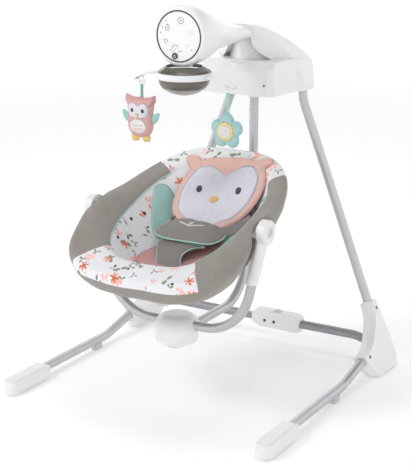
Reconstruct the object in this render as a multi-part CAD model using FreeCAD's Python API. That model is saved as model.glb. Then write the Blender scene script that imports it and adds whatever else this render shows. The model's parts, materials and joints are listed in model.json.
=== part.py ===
import FreeCAD, Part
import math
import os

V = FreeCAD.Vector

# Baby swing.  Millimetres, +X to the right as seen from the front, +Y to the rear, +Z up.
# The origin is on the floor, under the middle of the footprint.

# Overall sizes
depth_half = 400.0          # front toes and the back of the housing, each side of the origin
leg_x = 383.0               # centre line of each floor leg
frame_y = 336.0             # plane of the uprights and the rear bar
yoke_y = -155.0             # plane of the seat's carrying yoke, and its swivel axis
arm_y = 261.0               # plane of the swing arm's straight part

# Tubes
tube_d = 25.4
tube_wall = 1.5
tube_r = tube_d / 2
fit_gap = 0.3               # between a tube and the plastic round it

# Side frames
upright_top_x = 114.0
upright_top_z = 815.0
upright_bend_z = 742.0
side_pivot_z = 797.0        # pin that each side frame folds on
hub_top_x = leg_x - 51.0    # the hub leans in from the leg
hub_top_z = 182.0
socket_depth = 42.0
upright_bend_r = 120.0
leg_z = 27.0
leg_rise_z = 62.0
leg_bend_r = 150.0
hub_thick = 40.0
hub_wall = 3.0
hub_edge_r = 5.0
foot_len = 160.0
foot_w = 45.0
foot_h = 38.0
pad_h = 4.0
screw_r = 3.0
hub_screw_y = 337.0         # screw through the upright, near the top of a hub
hub_screw_drop = 26.0
leg_screw_y = 212.0         # screw through the end of the leg

# Rear bar and its fold hinge
bar_z = 72.0
bar_pivot_x = leg_x - 43.0
bar_pivot_z = 62.0
bar_rise_x = leg_x - 83.0
bar_bend_r = 110.0
bar_pin_r = 4.0
pin_gap = 0.1               # between a pin and a tube that turns on it
ear_t = 4.0
ear_gap = 1.0               # between the bar and each ear
bar_end = 12.0              # length of the bar past its pin
fold_x = 14.0
latch_x = 45.0
fold_box_left = -29.0
fold_box_right = 128.0
fold_box_low = 48.0
fold_box_high = 98.0
cheek_t = 3.0
cheek_gap = 28.5
tongue_t = 14.0
tongue_len = 76.0           # from the left half's tube to the fold pin
tongue_r = 9.0
pin_stub_y = 8.0
bar_tube_start = 88.0

# Swing arm and swivel
swing_z = 850.0
swing_max = 15.0            # degrees each way
shaft_r = 5.0
running = 0.06              # radial running clearance of a shaft in its bearing
bearing_r = 11.0
bearing_t = 7.0
bearing_span = 58.0
arm_bend_z = 600.0
arm_low_y = 214.0
arm_low_z = 172.0
arm_bend_r = 130.0
collar_r = 17.0
collar_low_z = 748.0
dome_r = 61.0
dome_low_z = 188.0
dome_high_z = 232.0
base_low_z = 155.0
knob_r = 24.0
knob_low_z = 143.0
knob_y = yoke_y - 8.0
seam = 0.6

# Rim of the seat
rim_a = 297.0               # half length of the rim, along the slope
rim_b = 253.0               # half width of the rim

# Yoke and recline hubs
yoke_z = 206.0
yoke_corner_x = 189.5
yoke_bend_r = 138.0
recline_x = rim_b + 8.0
recline_z = 490.0
recline_r = 32.0
hub_t = 24.0
sleeve_low_z = 349.0
sleeve_low_r = 15.8

# Seat
seat_y = -111.5
seat_z = 496.0
seat_tilt = 22.9
liner_t = 9.0
support_t = 22.0
pocket_gap = 6.0            # between a recline hub and the pocket in the pod
plate_r = 20.0              # round plate of a seat hub
plate_gap = 0.5             # between that plate and the recline hub
spindle_r = 6.0             # pin that the seat turns on
recline_max = 12.0

# Housing
house_base_z = 770.0
house_half_w = 137.0
house_top_z = 962.0
house_front_y = 150.0
split_y = 300.0
shell_t = 3.0
rim_band = 27.0
recess_depth = 28.0
face_top_z = 862.0
face_half_w = 112.0

# Cells at the back of the housing, and the power inlet in its base
cell_r = 16.5
cell_y = depth_half - 32.0
cell_z = 797.0
jack_x = 92.0
jack_y = 360.0
jack_bore_r = 3.2
jack_depth = 9.0
jack_r = 7.0
door_half_w = 70.0
door_low_z = 782.0
door_high_z = 818.0
door_gap = 0.4

# Control head and mobile
head_y = -144.0
head_z = 959.0
head_r = 76.5
bezel_depth = 16.0
panel_r = 61.7
ring_r = 65.5
mobile_y = -118.0
socket_gap = 0.5            # above and below the mobile's socket
cone_top_z = head_z - head_r - socket_gap
cone_h = 13.5
cone_top_r = 52.0
cone_low_r = 70.0
ring_h = 18.0               # height of the mobile's ring
ring_z = cone_top_z - cone_h - socket_gap - ring_h
mobile_ring_r = 72.0
globe_low_z = ring_z - 44.0
arm_tip_x = 147.0
toy_x = 128.0
toy_hang_z = ring_z - 18.0

os.makedirs("parts", exist_ok=True)


# ---------------------------------------------------------------- helpers

def save(name, shape):
    """Writes one node's solids."""
    shape.exportStep("parts/" + name + ".step")


def group(shapes):
    return Part.makeCompound(shapes)


def mirrored(shape):
    """The same piece on the other side of the X = 0 plane."""
    return shape.mirror(V(0, 0, 0), V(1, 0, 0))


def box(low, high):
    size = [h - l for l, h in zip(low, high)]
    return Part.makeBox(size[0], size[1], size[2], V(*low))


def rod(radius, start, end):
    start = V(*start)
    end = V(*end)
    return Part.makeCylinder(radius, (end - start).Length, start, end - start)


def bent_wire(points, radius):
    """Straight runs through the points, joined by tangent arcs of one radius."""
    pts = [V(*p) for p in points]
    edges = []
    start = pts[0]
    for before, corner, after in zip(pts, pts[1:], pts[2:]):
        a = (before - corner).normalize()
        b = (after - corner).normalize()
        half = a.getAngle(b) / 2
        reach = radius / math.tan(half)
        p = corner + a * reach
        q = corner + b * reach
        bisector = (a + b).normalize()
        mid = corner + bisector * (radius / math.sin(half) - radius)
        edges.append(Part.LineSegment(start, p).toShape())
        edges.append(Part.Arc(p, mid, q).toShape())
        start = q
    edges.append(Part.LineSegment(start, pts[-1]).toShape())
    return Part.Wire(edges)


def swept(points, bend_r, radius):
    path = bent_wire(points, bend_r)
    first = V(*points[1]) - V(*points[0])
    ring = Part.Wire(Part.makeCircle(radius, V(*points[0]), first))
    return path.makePipeShell([ring], True, False)


def tube(points, bend_r):
    """A bent round tube with its wall."""
    outer = swept(points, bend_r, tube_r)
    return outer.cut(swept(points, bend_r, tube_r - tube_wall))


def closed_spline(points):
    curve = Part.BSplineCurve()
    curve.interpolate([V(*p) for p in points], PeriodicFlag=True)
    return Part.Wire(curve.toShape())


def open_spline(points):
    curve = Part.BSplineCurve()
    curve.interpolate([V(*p) for p in points])
    return curve.toShape()


def power(value, exponent):
    return math.copysign(abs(value) ** exponent, value)


def oval_xz(y, centre_z, half_w, half_h, exponent=1.0, count=24):
    """A superellipse in the plane Y = y."""
    pts = []
    for i in range(count):
        t = 2 * math.pi * i / count
        x = half_w * power(math.cos(t), exponent)
        z = centre_z + half_h * power(math.sin(t), exponent)
        pts.append((x, y, z))
    return closed_spline(pts)


def slab(wire, direction):
    return Part.Face(wire).extrude(V(*direction))


# ---------------------------------------------------------------- side frames (built on the right)

lean = math.atan2(hub_top_x - upright_top_x, upright_bend_z - hub_top_z)
hub_floor_x = hub_top_x + hub_top_z * math.tan(lean)
hub_h = hub_top_z / math.cos(lean)
upright_end = (hub_top_x + socket_depth * math.sin(lean), frame_y, hub_top_z - socket_depth * math.cos(lean))
leg_bend_y = 72.0
leg_end_y = 224.0
toe_y = -depth_half


def upright_path():
    top = (upright_top_x, frame_y, upright_top_z)
    bend = (upright_top_x, frame_y, upright_bend_z)
    return [top, bend, upright_end]


def leg_path():
    toe = (leg_x, toe_y + 22.0, leg_z)
    bend = (leg_x, leg_bend_y, leg_z)
    return [toe, bend, (leg_x, leg_end_y, leg_rise_z)]


def upright():
    reach = tube_r + 7.0
    front = (upright_top_x, frame_y - reach, side_pivot_z)
    back = (upright_top_x, frame_y + reach, side_pivot_z)
    bore = rod(bar_pin_r + pin_gap, front, back)
    return tube(upright_path(), upright_bend_r).cut(bore)


def hub_outline(inset):
    """The fin of the hub in its own plane: Y along the floor, Z up the lean."""
    i = inset
    back_y = frame_y + 37.0
    rising = [(0, 184 + i, 76 - i), (0, 240, 86 - i), (0, 290, 122 - i), (0, 314 + i, 160 - i)]
    front = open_spline(rising + [(0, 318 + i, hub_h - i)])
    corners = [
        V(0, 318 + i, hub_h - i), V(0, 356 - i, hub_h - i), V(0, back_y - i, 58), V(0, back_y - i, 16 + i),
        V(0, back_y - 16 - i, i - 20), V(0, 248 + i, i - 20), V(0, 190 + i, 38 + i), V(0, 184 + i, 76 - i)]
    edges = [Part.LineSegment(a, b).toShape() for a, b in zip(corners, corners[1:])]
    return Part.Wire([front] + edges)


def lean_over(shape):
    """Tips a hub built upright at X = 0 into the plane of the upright."""
    shape.rotate(V(0, 0, 0), V(0, 1, 0), -math.degrees(lean))
    shape.translate(V(hub_floor_x, 0, 0))
    return shape


def hub_solid(inset, half):
    """Half of the hub, from its middle plane outwards (half = +1) or inwards (half = -1)."""
    thick = hub_thick / 2 - inset
    middle = Part.Face(hub_outline(inset))
    slim = hub_outline(inset + hub_edge_r)
    slim.translate(V(half * thick, 0, 0))
    body = Part.makeLoft([middle.OuterWire, slim], True, True)
    return body


def hub_shell(half):
    body = lean_over(hub_solid(0, half).cut(hub_solid(hub_wall, half)))
    above_floor = box((200, 100, pad_h), (500, 500, 300))
    body = body.common(above_floor)
    floor_plate = lean_over(hub_solid(0, half)).common(box((200, 100, pad_h), (500, 500, pad_h + hub_wall)))
    body = body.fuse(floor_plate)
    hole_r = tube_r + fit_gap
    body = body.cut([swept(upright_path(), upright_bend_r, hole_r), swept(leg_path(), leg_bend_r, hole_r)])
    if half < 0:
        body = body.fuse(bar_ears()).cut(bar_room())
        body = body.cut(pin_bore(0.0))
    return body.removeSplitter()


def bar_ears():
    """Two ears on the inner shell that hold the rear bar's pin."""
    ears = []
    for side in (-1, 1):
        y = frame_y + side * (tube_r + ear_gap + ear_t / 2)
        low = (bar_pivot_x - 12, y - ear_t / 2, bar_pivot_z - 12)
        high = (bar_pivot_x + 34, y + ear_t / 2, bar_pivot_z + 12)
        ears.append(box(low, high))
    ears = ears[0].fuse(ears[1])
    inside = lean_over(hub_solid(hub_wall, -1)).fuse(lean_over(hub_solid(0, 1)))
    return ears.cut(inside)


def bar_room():
    """The round of space that the end of the rear bar sweeps between the ears."""
    reach = math.hypot(bar_end, tube_r) + 1.0
    half = tube_r + ear_gap
    return rod(reach, (bar_pivot_x, frame_y - half, bar_pivot_z), (bar_pivot_x, frame_y + half, bar_pivot_z))


def pin_bore(gap):
    reach = tube_r + ear_gap + ear_t + 2.0
    front = (bar_pivot_x, frame_y - reach, bar_pivot_z)
    back = (bar_pivot_x, frame_y + reach, bar_pivot_z)
    return rod(bar_pin_r + gap, front, back)


def hub_fasteners():
    """Two screws through the hub, and the pin of the rear bar."""
    screws = []
    for y, up in ((hub_screw_y, hub_h - hub_screw_drop), (leg_screw_y, leg_rise_z)):
        screw = rod(screw_r, (-hub_thick / 2 + 4, y, up), (hub_thick / 2 - 0.5, y, up))
        head = rod(screw_r + 1.5, (hub_thick / 2 - 0.5, y, up), (hub_thick / 2 + 1.0, y, up))
        screws.append(lean_over(screw.fuse(head)))
    return screws


def foot_cap():
    half = foot_w / 2
    low_z = pad_h
    cap = box((leg_x - half, toe_y, low_z), (leg_x + half, toe_y + foot_len, low_z + foot_h))
    upright_edges = [e for e in cap.Edges if abs(e.tangentAt(e.FirstParameter).z) > 0.9]
    front = [e for e in upright_edges if e.CenterOfMass.y < toe_y + 1]
    cap = cap.makeFillet(half - 3, front)
    top = [e for e in cap.Edges if e.CenterOfMass.z > low_z + foot_h - 0.5]
    cap = cap.makeFillet(8.0, top)
    return cap.cut(swept(leg_path(), leg_bend_r, tube_r))


def floor_pads():
    """Rubber pads: under the toe, under the leg and under the hub."""
    toe = box((leg_x - 11, toe_y + 30, 0), (leg_x + 11, toe_y + 120, pad_h))
    leg = box((leg_x - 9, 2, 0), (leg_x + 9, 32, leg_z - tube_r + 3))
    leg = leg.cut(swept(leg_path(), leg_bend_r, tube_r))
    hub_low_x = hub_floor_x - pad_h * math.tan(lean)
    hub = box((hub_low_x - 13, 268, 0), (hub_low_x + 13, 352, pad_h))
    return group([toe, leg, hub])


def side_frame():
    parts = {}
    leg = tube(leg_path(), leg_bend_r)
    parts["upright_tube"] = upright()
    parts["leg_tube"] = leg
    screws = hub_fasteners()
    parts["hub_outer_shell"] = hub_shell(1).cut(screws)
    parts["hub_inner_shell"] = hub_shell(-1).cut(screws)
    parts["foot_cap"] = foot_cap()
    parts["floor_pads"] = floor_pads()
    parts["upright_tube"] = parts["upright_tube"].cut(screws)
    parts["leg_tube"] = parts["leg_tube"].cut(screws)
    parts["hub_fasteners"] = group(screws + [pin_bore(0.0)])
    for name, shape in parts.items():
        save(name + "_right", shape)
        save(name + "_left", mirrored(shape))


# ---------------------------------------------------------------- rear bar and fold hinge

def bar_half(inner_x):
    """Tube from beyond its pivot at the hub to inner_x, built on the right."""
    slope = (bar_z - bar_pivot_z) / (bar_pivot_x - bar_rise_x)
    outer = (bar_pivot_x + bar_end, frame_y, bar_pivot_z - bar_end * slope)
    body = tube([outer, (bar_rise_x, frame_y, bar_z), (inner_x, frame_y, bar_z)], bar_bend_r)
    return body.cut(pin_bore(pin_gap))


def tongue():
    """Flat end of the left half, which turns between the cheeks of the hinge box."""
    start = fold_x - tongue_len
    half = tongue_t / 2
    plate = box((start - 30, frame_y - half, bar_z - tongue_r), (fold_x, frame_y + half, bar_z + tongue_r))
    nose = rod(tongue_r, (fold_x, frame_y - half, bar_z), (fold_x, frame_y + half, bar_z))
    return plate.fuse(nose)


def fold_cheek(side):
    """One half of the hinge box: a cheek, half of the roof and half of the tube socket."""
    half = cheek_gap / 2 + cheek_t
    low_y = frame_y if side > 0 else frame_y - half
    bevel = 26.0
    y0 = low_y
    outline = [
        V(fold_box_left, y0, fold_box_low + 12), V(fold_box_left, y0, fold_box_high - 8),
        V(fold_box_left + 10, y0, fold_box_high), V(fold_box_right - 12, y0, fold_box_high),
        V(fold_box_right, y0, fold_box_high - 12), V(fold_box_right - 4, y0, fold_box_low),
        V(fold_box_left + bevel, y0, fold_box_low)]
    outline.append(outline[0])
    body = slab(Part.makePolygon(outline), (0, half, 0))
    inner_low = (fold_box_left - 5, frame_y - cheek_gap / 2, fold_box_low - 5)
    inner = box(inner_low, (bar_tube_start - 2, frame_y + cheek_gap / 2, fold_box_high - cheek_t))
    socket = rod(tube_r, (bar_tube_start - 3, frame_y, bar_z), (fold_box_right + 5, frame_y, bar_z))
    body = body.cut([inner, socket])
    button_hole = box((latch_x - 8, frame_y - 8, bar_z), (latch_x + 16, frame_y + 8, 120))
    body = body.cut(button_hole)
    return body.cut([fold_pin(x, side) for x in (fold_x, latch_x)])


def fold_pin(x, side):
    """A pin's stub, with its head on the outside of a cheek."""
    outer_y = cheek_gap / 2 + cheek_t + 0.8
    z = bar_z - 3
    return rod(4.5, (x, frame_y + side * pin_stub_y, z), (x, frame_y + side * outer_y, z))


def fold_button():
    """Peaked release button in the roof of the hinge box."""
    x0 = latch_x - 7.6
    x1 = latch_x + 15.6
    low = fold_box_high - cheek_t
    outline = [V(x0, frame_y - 7.6, low), V(x0, frame_y - 7.6, fold_box_high + 1),
               V((x0 + x1) / 2, frame_y - 7.6, fold_box_high + 7), V(x1, frame_y - 7.6, fold_box_high + 1),
               V(x1, frame_y - 7.6, low)]
    outline.append(outline[0])
    return slab(Part.makePolygon(outline), (0, 15.2, 0))


def rear_bar():
    save("bar_tube_right", bar_half(bar_tube_start))
    left = mirrored(bar_half(tongue_len - fold_x))
    save("bar_tube_left", left.fuse(tongue()).removeSplitter())
    save("fold_hinge_front", fold_cheek(-1))
    save("fold_hinge_rear", fold_cheek(1))
    pins = [fold_pin(x, side) for x in (fold_x, latch_x) for side in (-1, 1)]
    save("fold_pins", group(pins))
    save("fold_button", fold_button())


# ---------------------------------------------------------------- housing

def arch_outline(inset):
    """Front view of the housing: straight shoulders and a round top, over a flat base."""
    i = inset
    w = house_half_w - i
    base = house_base_z + i
    top = house_top_z - i
    shoulder = [(w, 0, base), (w - 2, 0, 811), (w - 15, 0, 850 - i / 2)]
    right = shoulder + [(w - 39, 0, 892 - i), (w - 74, 0, 935 - i)]
    left = [(-x, y, z) for x, y, z in reversed(right)]
    arch = open_spline(right + [(30, 0, top - 3), (0, 0, top), (-30, 0, top - 3)] + left)
    foot = Part.LineSegment(V(-w, 0, base), V(w, 0, base)).toShape()
    return Part.Wire([arch, foot])


def front_curve(x):
    """How far back the hood's front edge is at x."""
    return house_front_y + 140.0 * (abs(x) / 135.0) ** 1.3


def plan_outline(inset, forward=0.0):
    """Top view of the housing: a front edge swept back to the corners, and a round back."""
    w = house_half_w + 8
    front = []
    back = []
    for k in range(-6, 7):
        x = w * k / 6
        front.append((x, front_curve(x) + inset - forward, 0))
        back.append((-x, depth_half - inset - 52.0 * abs(k / 6) ** 3.2, 0))
    a = open_spline(front)
    b = open_spline(back)
    c = Part.LineSegment(V(*front[-1]), V(*back[0])).toShape()
    d = Part.LineSegment(V(*back[-1]), V(*front[0])).toShape()
    return Part.Wire([a, c, b, d])


def side_outline(inset):
    """Side view of the housing: the top falls gently, then rounds over to the back."""
    i = inset
    falling = [(0, 100, 972 - i), (0, 183, house_top_z - i), (0, 260, 930 - i), (0, 320, 893 - i)]
    top = open_spline(falling + [(0, 368 - i / 2, 848 - i / 2), (0, depth_half + 4 - i, 790)])
    base = house_base_z + i
    edges = [Part.LineSegment(V(0, depth_half + 4 - i, 790), V(0, depth_half + 4 - i, base)).toShape(),
             Part.LineSegment(V(0, depth_half + 4 - i, base), V(0, 100, base)).toShape(),
             Part.LineSegment(V(0, 100, base), V(0, 100, 972 - i)).toShape()]
    return Part.Wire([top] + edges)


def hood(inset):
    """The housing's outer form, shrunk by inset, as the space three outlines share."""
    front = slab(arch_outline(inset), (0, 600, 0))
    plan = slab(plan_outline(inset), (0, 0, 400))
    plan.translate(V(0, 0, 700))
    side = slab(side_outline(inset), (400, 0, 0))
    side.translate(V(-200, 0, 0))
    return front.common(plan).common(side)


def recess(grow):
    """The arched hollow under the hood's rim, above the face."""
    arch = slab(arch_outline(rim_band - grow), (0, 600, 0))
    plan = slab(plan_outline(recess_depth + grow), (0, 0, 400))
    plan.translate(V(0, 0, 700))
    return arch.cut(plan).common(box((-200, 100, face_top_z - 6 - grow), (200, 330, 990)))


def face_block(inset):
    """The box-like lower front of the housing."""
    i = inset
    low = house_base_z + i
    front = house_front_y + i
    w = face_half_w - i
    back_w = house_half_w - 9 - i
    plan = [V(-w, front + 14, low), V(-w + 14, front, low), V(w - 14, front, low), V(w, front + 14, low),
            V(back_w, split_y, low), V(-back_w, split_y, low)]
    plan.append(plan[0])
    body = slab(Part.makePolygon(plan), (0, 0, face_top_z - i - low))
    above = face_top_z + 9
    slope = [V(0, front - 1, face_top_z - 30 - i), V(0, front + 22, face_top_z - i), V(0, front + 22, above),
             V(0, front - 1, above)]
    slope.append(slope[0])
    wedge = slab(Part.makePolygon(slope), (400, 0, 0))
    wedge.translate(V(-200, 0, 0))
    return body.cut(wedge)


def housing_form(inset):
    return hood(inset).cut(recess(inset)).fuse(face_block(inset))


def upright_slot(sign):
    """Room in the base for an upright, folded in or out."""
    x = sign * upright_top_x
    swing = 8.0
    half = tube_r + 1.5
    low = x - half - (swing if sign > 0 else 0)
    high = x + half + (swing if sign < 0 else 0)
    return box((low, frame_y - half, house_base_z - 5), (high, frame_y + half, house_base_z + 20))


def arm_slot():
    """Room in the base for the swing arm, from side to side."""
    drop = swing_z - house_base_z
    half = drop * math.tan(math.radians(swing_max + 1.5)) + collar_r + 3
    half_y = collar_r + 2
    return box((-half, arm_y - half_y, house_base_z - 5), (half, arm_y + half_y, house_base_z + 14))


def bearing_walls():
    walls = []
    for side in (-1, 1):
        y = arm_y + side * bearing_span / 2
        plate = box((-26, y - bearing_t / 2, swing_z - 24), (26, y + bearing_t / 2, house_top_z + 10))
        walls.append(plate)
    return walls


def pivot_walls():
    walls = []
    for sign in (-1, 1):
        for side in (-1, 1):
            y = frame_y + side * (tube_r + 3.5)
            x = sign * upright_top_x
            walls.append(box((x - 30, y - 1.5, house_base_z), (x + 30, y + 1.5, side_pivot_z + 14)))
    return walls


def side_pins():
    reach = tube_r + 6.5
    pins = []
    for sign in (-1, 1):
        x = sign * upright_top_x
        pins.append(rod(bar_pin_r, (x, frame_y - reach, side_pivot_z), (x, frame_y + reach, side_pivot_z)))
    return pins


def cells():
    """Four large round cells at the back of the housing."""
    found = []
    for x in (-64.5, 3.0):
        for y in (cell_y, cell_y - 34.0):
            found.append(rod(cell_r, (x, y, cell_z), (x + 61.5, y, cell_z)))
    return found


def door_space(grow):
    """The battery door's place in the back of the housing."""
    half = door_half_w + grow
    return box((-half, depth_half - 12, door_low_z - grow), (half, depth_half + 5, door_high_z + grow))


def housing():
    outer = housing_form(0)
    inner = housing_form(shell_t)
    shell = outer.cut(inner)
    openings = [upright_slot(1), upright_slot(-1), arm_slot()]
    shell = shell.cut(openings)
    front_zone = box((-300, 0, 600), (300, split_y, 1100))
    rear_zone = box((-300, split_y, 600), (300, 600, 1100))
    bearings = []
    for side in (-1, 1):
        y = arm_y + side * bearing_span / 2
        ring = rod(bearing_r, (0, y - bearing_t / 2, swing_z), (0, y + bearing_t / 2, swing_z))
        hole = rod(shaft_r + running, (0, y - bearing_t, swing_z), (0, y + bearing_t, swing_z))
        bearings.append((ring, hole))
    front = shell.common(front_zone)
    for wall in bearing_walls():
        front = front.fuse(wall.common(inner))
    front = front.cut([ring for ring, hole in bearings])
    post = rod(8.0, (0, arm_y, 917.0), (0, arm_y, house_top_z)).common(inner)
    front = front.fuse(post)
    head_joint = neck_form(0)
    front = front.cut(rod(16.0, (0, 100, 944), (0, 200, 944)).common(head_joint))
    rear = shell.common(rear_zone)
    for wall in pivot_walls():
        rear = rear.fuse(wall.common(inner))
    rear = rear.cut(side_pins() + [upright_slot(1), upright_slot(-1)])
    door = door_space(0).common(rear)
    rear = rear.cut(door_space(door_gap))
    jack = rod(jack_r, (jack_x, jack_y, house_base_z - 1), (jack_x, jack_y, house_base_z + 14))
    rear = rear.cut(jack)
    bore = rod(jack_bore_r, (jack_x, jack_y, house_base_z - 2), (jack_x, jack_y, house_base_z + jack_depth))
    jack = jack.cut(bore)
    tray_y = cell_y - 54
    tray = box((-68, tray_y, house_base_z), (68, tray_y + 2, cell_z + 4)).common(inner)
    rests = []
    for x in (-45.0, 45.0):
        rests.append(box((x - 2, tray_y, house_base_z), (x + 2, depth_half, cell_z - 4)).common(inner))
    rear = rear.fuse([tray] + rests).cut(cells())
    screws = housing_screws()
    save("housing_front_shell", front.cut(screws).removeSplitter())
    save("housing_rear_shell", rear.removeSplitter())
    save("battery_door", door)
    save("battery_cells", group(cells()))
    save("dc_jack", jack)
    save("shaft_bearings", group([ring.cut(hole) for ring, hole in bearings]))
    save("side_pivot_pins", group(side_pins()))
    save("housing_screws", group(screws))
    coil = rod(15.0, (0, arm_y, 896.0), (0, arm_y, 917.0))
    save("drive_coil", coil.cut(rod(5.0, (0, arm_y, 890.0), (0, arm_y, 911.0))))


def housing_screws():
    """Screws in the recess, low on the face and beside it."""
    screws = []
    for x, z in ((-46.0, 893.0), (46.0, 893.0)):
        y = front_curve(x) + recess_depth
        screws.append(rod(screw_r, (x, y - 1.0, z), (x, y + 12.0, z)))
    for x in (-88.0, 88.0):
        screws.append(rod(screw_r, (x, house_front_y - 0.6, 800.0), (x, house_front_y + 12.0, 800.0)))
    return screws


# ---------------------------------------------------------------- control head

def neck_form(inset):
    """The round head's drum, running back into a flat neck."""
    i = inset
    front_y = head_y + bezel_depth
    drum = [(front_y, head_z, head_r, head_r), (-100.0, head_z, head_r, head_r)]
    stations = drum + [
        (-45.0, 954.0, 69.0, 61.0), (0.0, 952.0, 57.0, 49.0), (50.0, 943.0, 48.0, 34.0),
        (100.0, 939.0, 44.0, 25.0), (165.0, 936.0, 42.0, 18.0)]
    wires = [oval_xz(y, z, w - i, h - i) for y, z, w, h in stations]
    return Part.makeLoft(wires, True, False)


def head():
    boss = rod(24.0, (0, mobile_y, cone_top_z), (0, mobile_y, head_z - 55))
    bore = rod(5.0 + running, (0, mobile_y, cone_top_z - 5), (0, mobile_y, cone_top_z + 16))
    front_y = head_y + bezel_depth
    outer = neck_form(0)
    inner = neck_form(shell_t)
    shell = outer.cut(inner).fuse(boss)
    shell = shell.cut(housing_form(0)).cut(bore)
    shell = shell.common(box((-200, front_y, cone_top_z), (200, 400, 1100)))
    solids = sorted(shell.Solids, key=lambda s: s.Volume)
    save("head_shell", solids[-1].removeSplitter())
    bezel = rod(head_r, (0, head_y, head_z), (0, front_y, head_z))
    rim = [e for e in bezel.Edges if abs(e.CenterOfMass.y - head_y) < 0.1 and e.Length > 10 and e.isClosed()]
    bezel = bezel.makeFillet(9.0, rim)
    bezel = bezel.cut(rod(ring_r, (0, head_y - 1, head_z), (0, head_y + 5, head_z)))
    bezel = bezel.cut(rod(ring_r - 6, (0, head_y - 1, head_z), (0, front_y + 1, head_z)))
    bezel = bezel.cut(rod(25.0, (0, mobile_y, cone_top_z), (0, mobile_y, head_z - 55)))
    save("head_bezel", bezel)
    ring = rod(ring_r, (0, head_y - 0.8, head_z), (0, head_y + 5, head_z))
    save("panel_ring", ring.cut(rod(panel_r, (0, head_y - 2, head_z), (0, head_y + 6, head_z))))
    button_at = (-11.0, 909.0)
    panel = rod(panel_r, (0, head_y, head_z), (0, head_y + 3, head_z))
    hole = rod(8.6, (button_at[0], head_y - 3, button_at[1]), (button_at[0], head_y + 6, button_at[1]))
    save("control_panel", panel.cut(hole).common(rod(panel_r, (0, head_y, head_z), (0, head_y + 3, head_z))))
    button = rod(8.2, (button_at[0], head_y - 1.8, button_at[1]), (button_at[0], head_y + 5, button_at[1]))
    save("control_button", button)
    save("circuit_board", rod(54.0, (0, head_y + 9, head_z), (0, head_y + 10.6, head_z)))
    speaker = rod(26.0, (0, head_y + 30, head_z + 8), (0, head_y + 46, head_z + 8))
    save("speaker", speaker.fuse(rod(12.0, (0, head_y + 46, head_z + 8), (0, head_y + 56, head_z + 8))))


# ---------------------------------------------------------------- mobile

def mobile_socket():
    low = cone_top_z - cone_h
    cone = Part.makeCone(cone_low_r, cone_top_r, cone_h, V(0, mobile_y, low))
    inner = Part.makeCone(cone_low_r - 2.5, cone_top_r - 2.5, cone_h - 2.0, V(0, mobile_y, low))
    hole = rod(5.0 + running, (0, mobile_y, low), (0, mobile_y, cone_top_z + 1))
    save("mobile_socket", cone.cut(inner).cut(hole))


def leaf_arm():
    """A curved leaf that droops from the ring to its tip, on the right."""
    top = ring_z + ring_h
    rise = [V(40, 0, top), V(66, 0, top), V(110, 0, top - 6), V(arm_tip_x, 0, top - 25)]
    over = open_spline([tuple(p) for p in rise])
    lower = [(40, 0, top - 5), (66, 0, top - 5), (108, 0, top - 11), (arm_tip_x - 2, 0, top - 29)]
    under = open_spline(lower)
    ends = [Part.LineSegment(V(40, 0, top), V(40, 0, top - 5)).toShape(),
            Part.LineSegment(V(arm_tip_x, 0, top - 25), V(arm_tip_x - 2, 0, top - 29)).toShape()]
    strip = slab(Part.Wire([over, ends[1], under, ends[0]]), (0, 60, 0))
    strip.translate(V(0, -30, 0))
    right = Part.Arc(V(40, -12, 0), V(100, -19, 0), V(arm_tip_x + 4, 0, 0)).toShape()
    left = Part.Arc(V(arm_tip_x + 4, 0, 0), V(100, 19, 0), V(40, 12, 0)).toShape()
    root = Part.LineSegment(V(40, 12, 0), V(40, -12, 0)).toShape()
    leaf = slab(Part.Wire([right, left, root]), (0, 0, 80))
    leaf.translate(V(0, 0, ring_z - 40))
    arm = strip.common(leaf)
    eye = box((toy_x - 6, -4, toy_hang_z - 3), (toy_x + 6, 4, top - 10))
    eye = eye.cut(rod(2.0, (toy_x - 8, 0, toy_hang_z), (toy_x + 8, 0, toy_hang_z)))
    arm = arm.fuse(eye)
    arm.translate(V(0, mobile_y, 0))
    return arm


def mobile():
    ring = rod(mobile_ring_r, (0, mobile_y, ring_z), (0, mobile_y, ring_z + ring_h))
    floor_z = ring_z + ring_h - 3
    ring = ring.cut(rod(mobile_ring_r - 4, (0, mobile_y, ring_z - 1), (0, mobile_y, floor_z)))
    shaft = rod(5.0, (0, mobile_y, floor_z), (0, mobile_y, cone_top_z + 14))
    arm = leaf_arm()
    keep_out = rod(mobile_ring_r - 4, (0, mobile_y, ring_z - 30), (0, mobile_y, floor_z))
    ring = ring.fuse([shaft, arm.cut(keep_out), mirrored(arm).cut(keep_out)])
    save("mobile_ring", ring.removeSplitter())
    band_low = ring_z - 12.0
    top_r = mobile_ring_r - 4.3
    low_r = 63.0
    band = Part.makeCone(low_r, top_r, floor_z - 1 - band_low, V(0, mobile_y, band_low))
    hollow = Part.makeCone(low_r - 2, top_r - 2, floor_z - 1 - band_low, V(0, mobile_y, band_low))
    save("globe_band", band.cut(hollow))
    drop = band_low - globe_low_z
    ball_r = (low_r ** 2 + drop ** 2) / (2 * drop)
    centre = V(0, mobile_y, globe_low_z + ball_r)
    cap = Part.makeSphere(ball_r, centre).cut(Part.makeSphere(ball_r - 2, centre))
    cap = cap.common(box((-80, mobile_y - 80, globe_low_z - 1), (80, mobile_y + 80, band_low)))
    save("globe_dome", cap)
    reflector = Part.makeCone(24.0, 50.0, 22.0, V(0, mobile_y, band_low - 14))
    save("reflector", reflector)


def disc(centre, radius, half):
    x, y, z = centre
    body = rod(radius, (x, y - half, z), (x, y + half, z))
    return body


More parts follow.
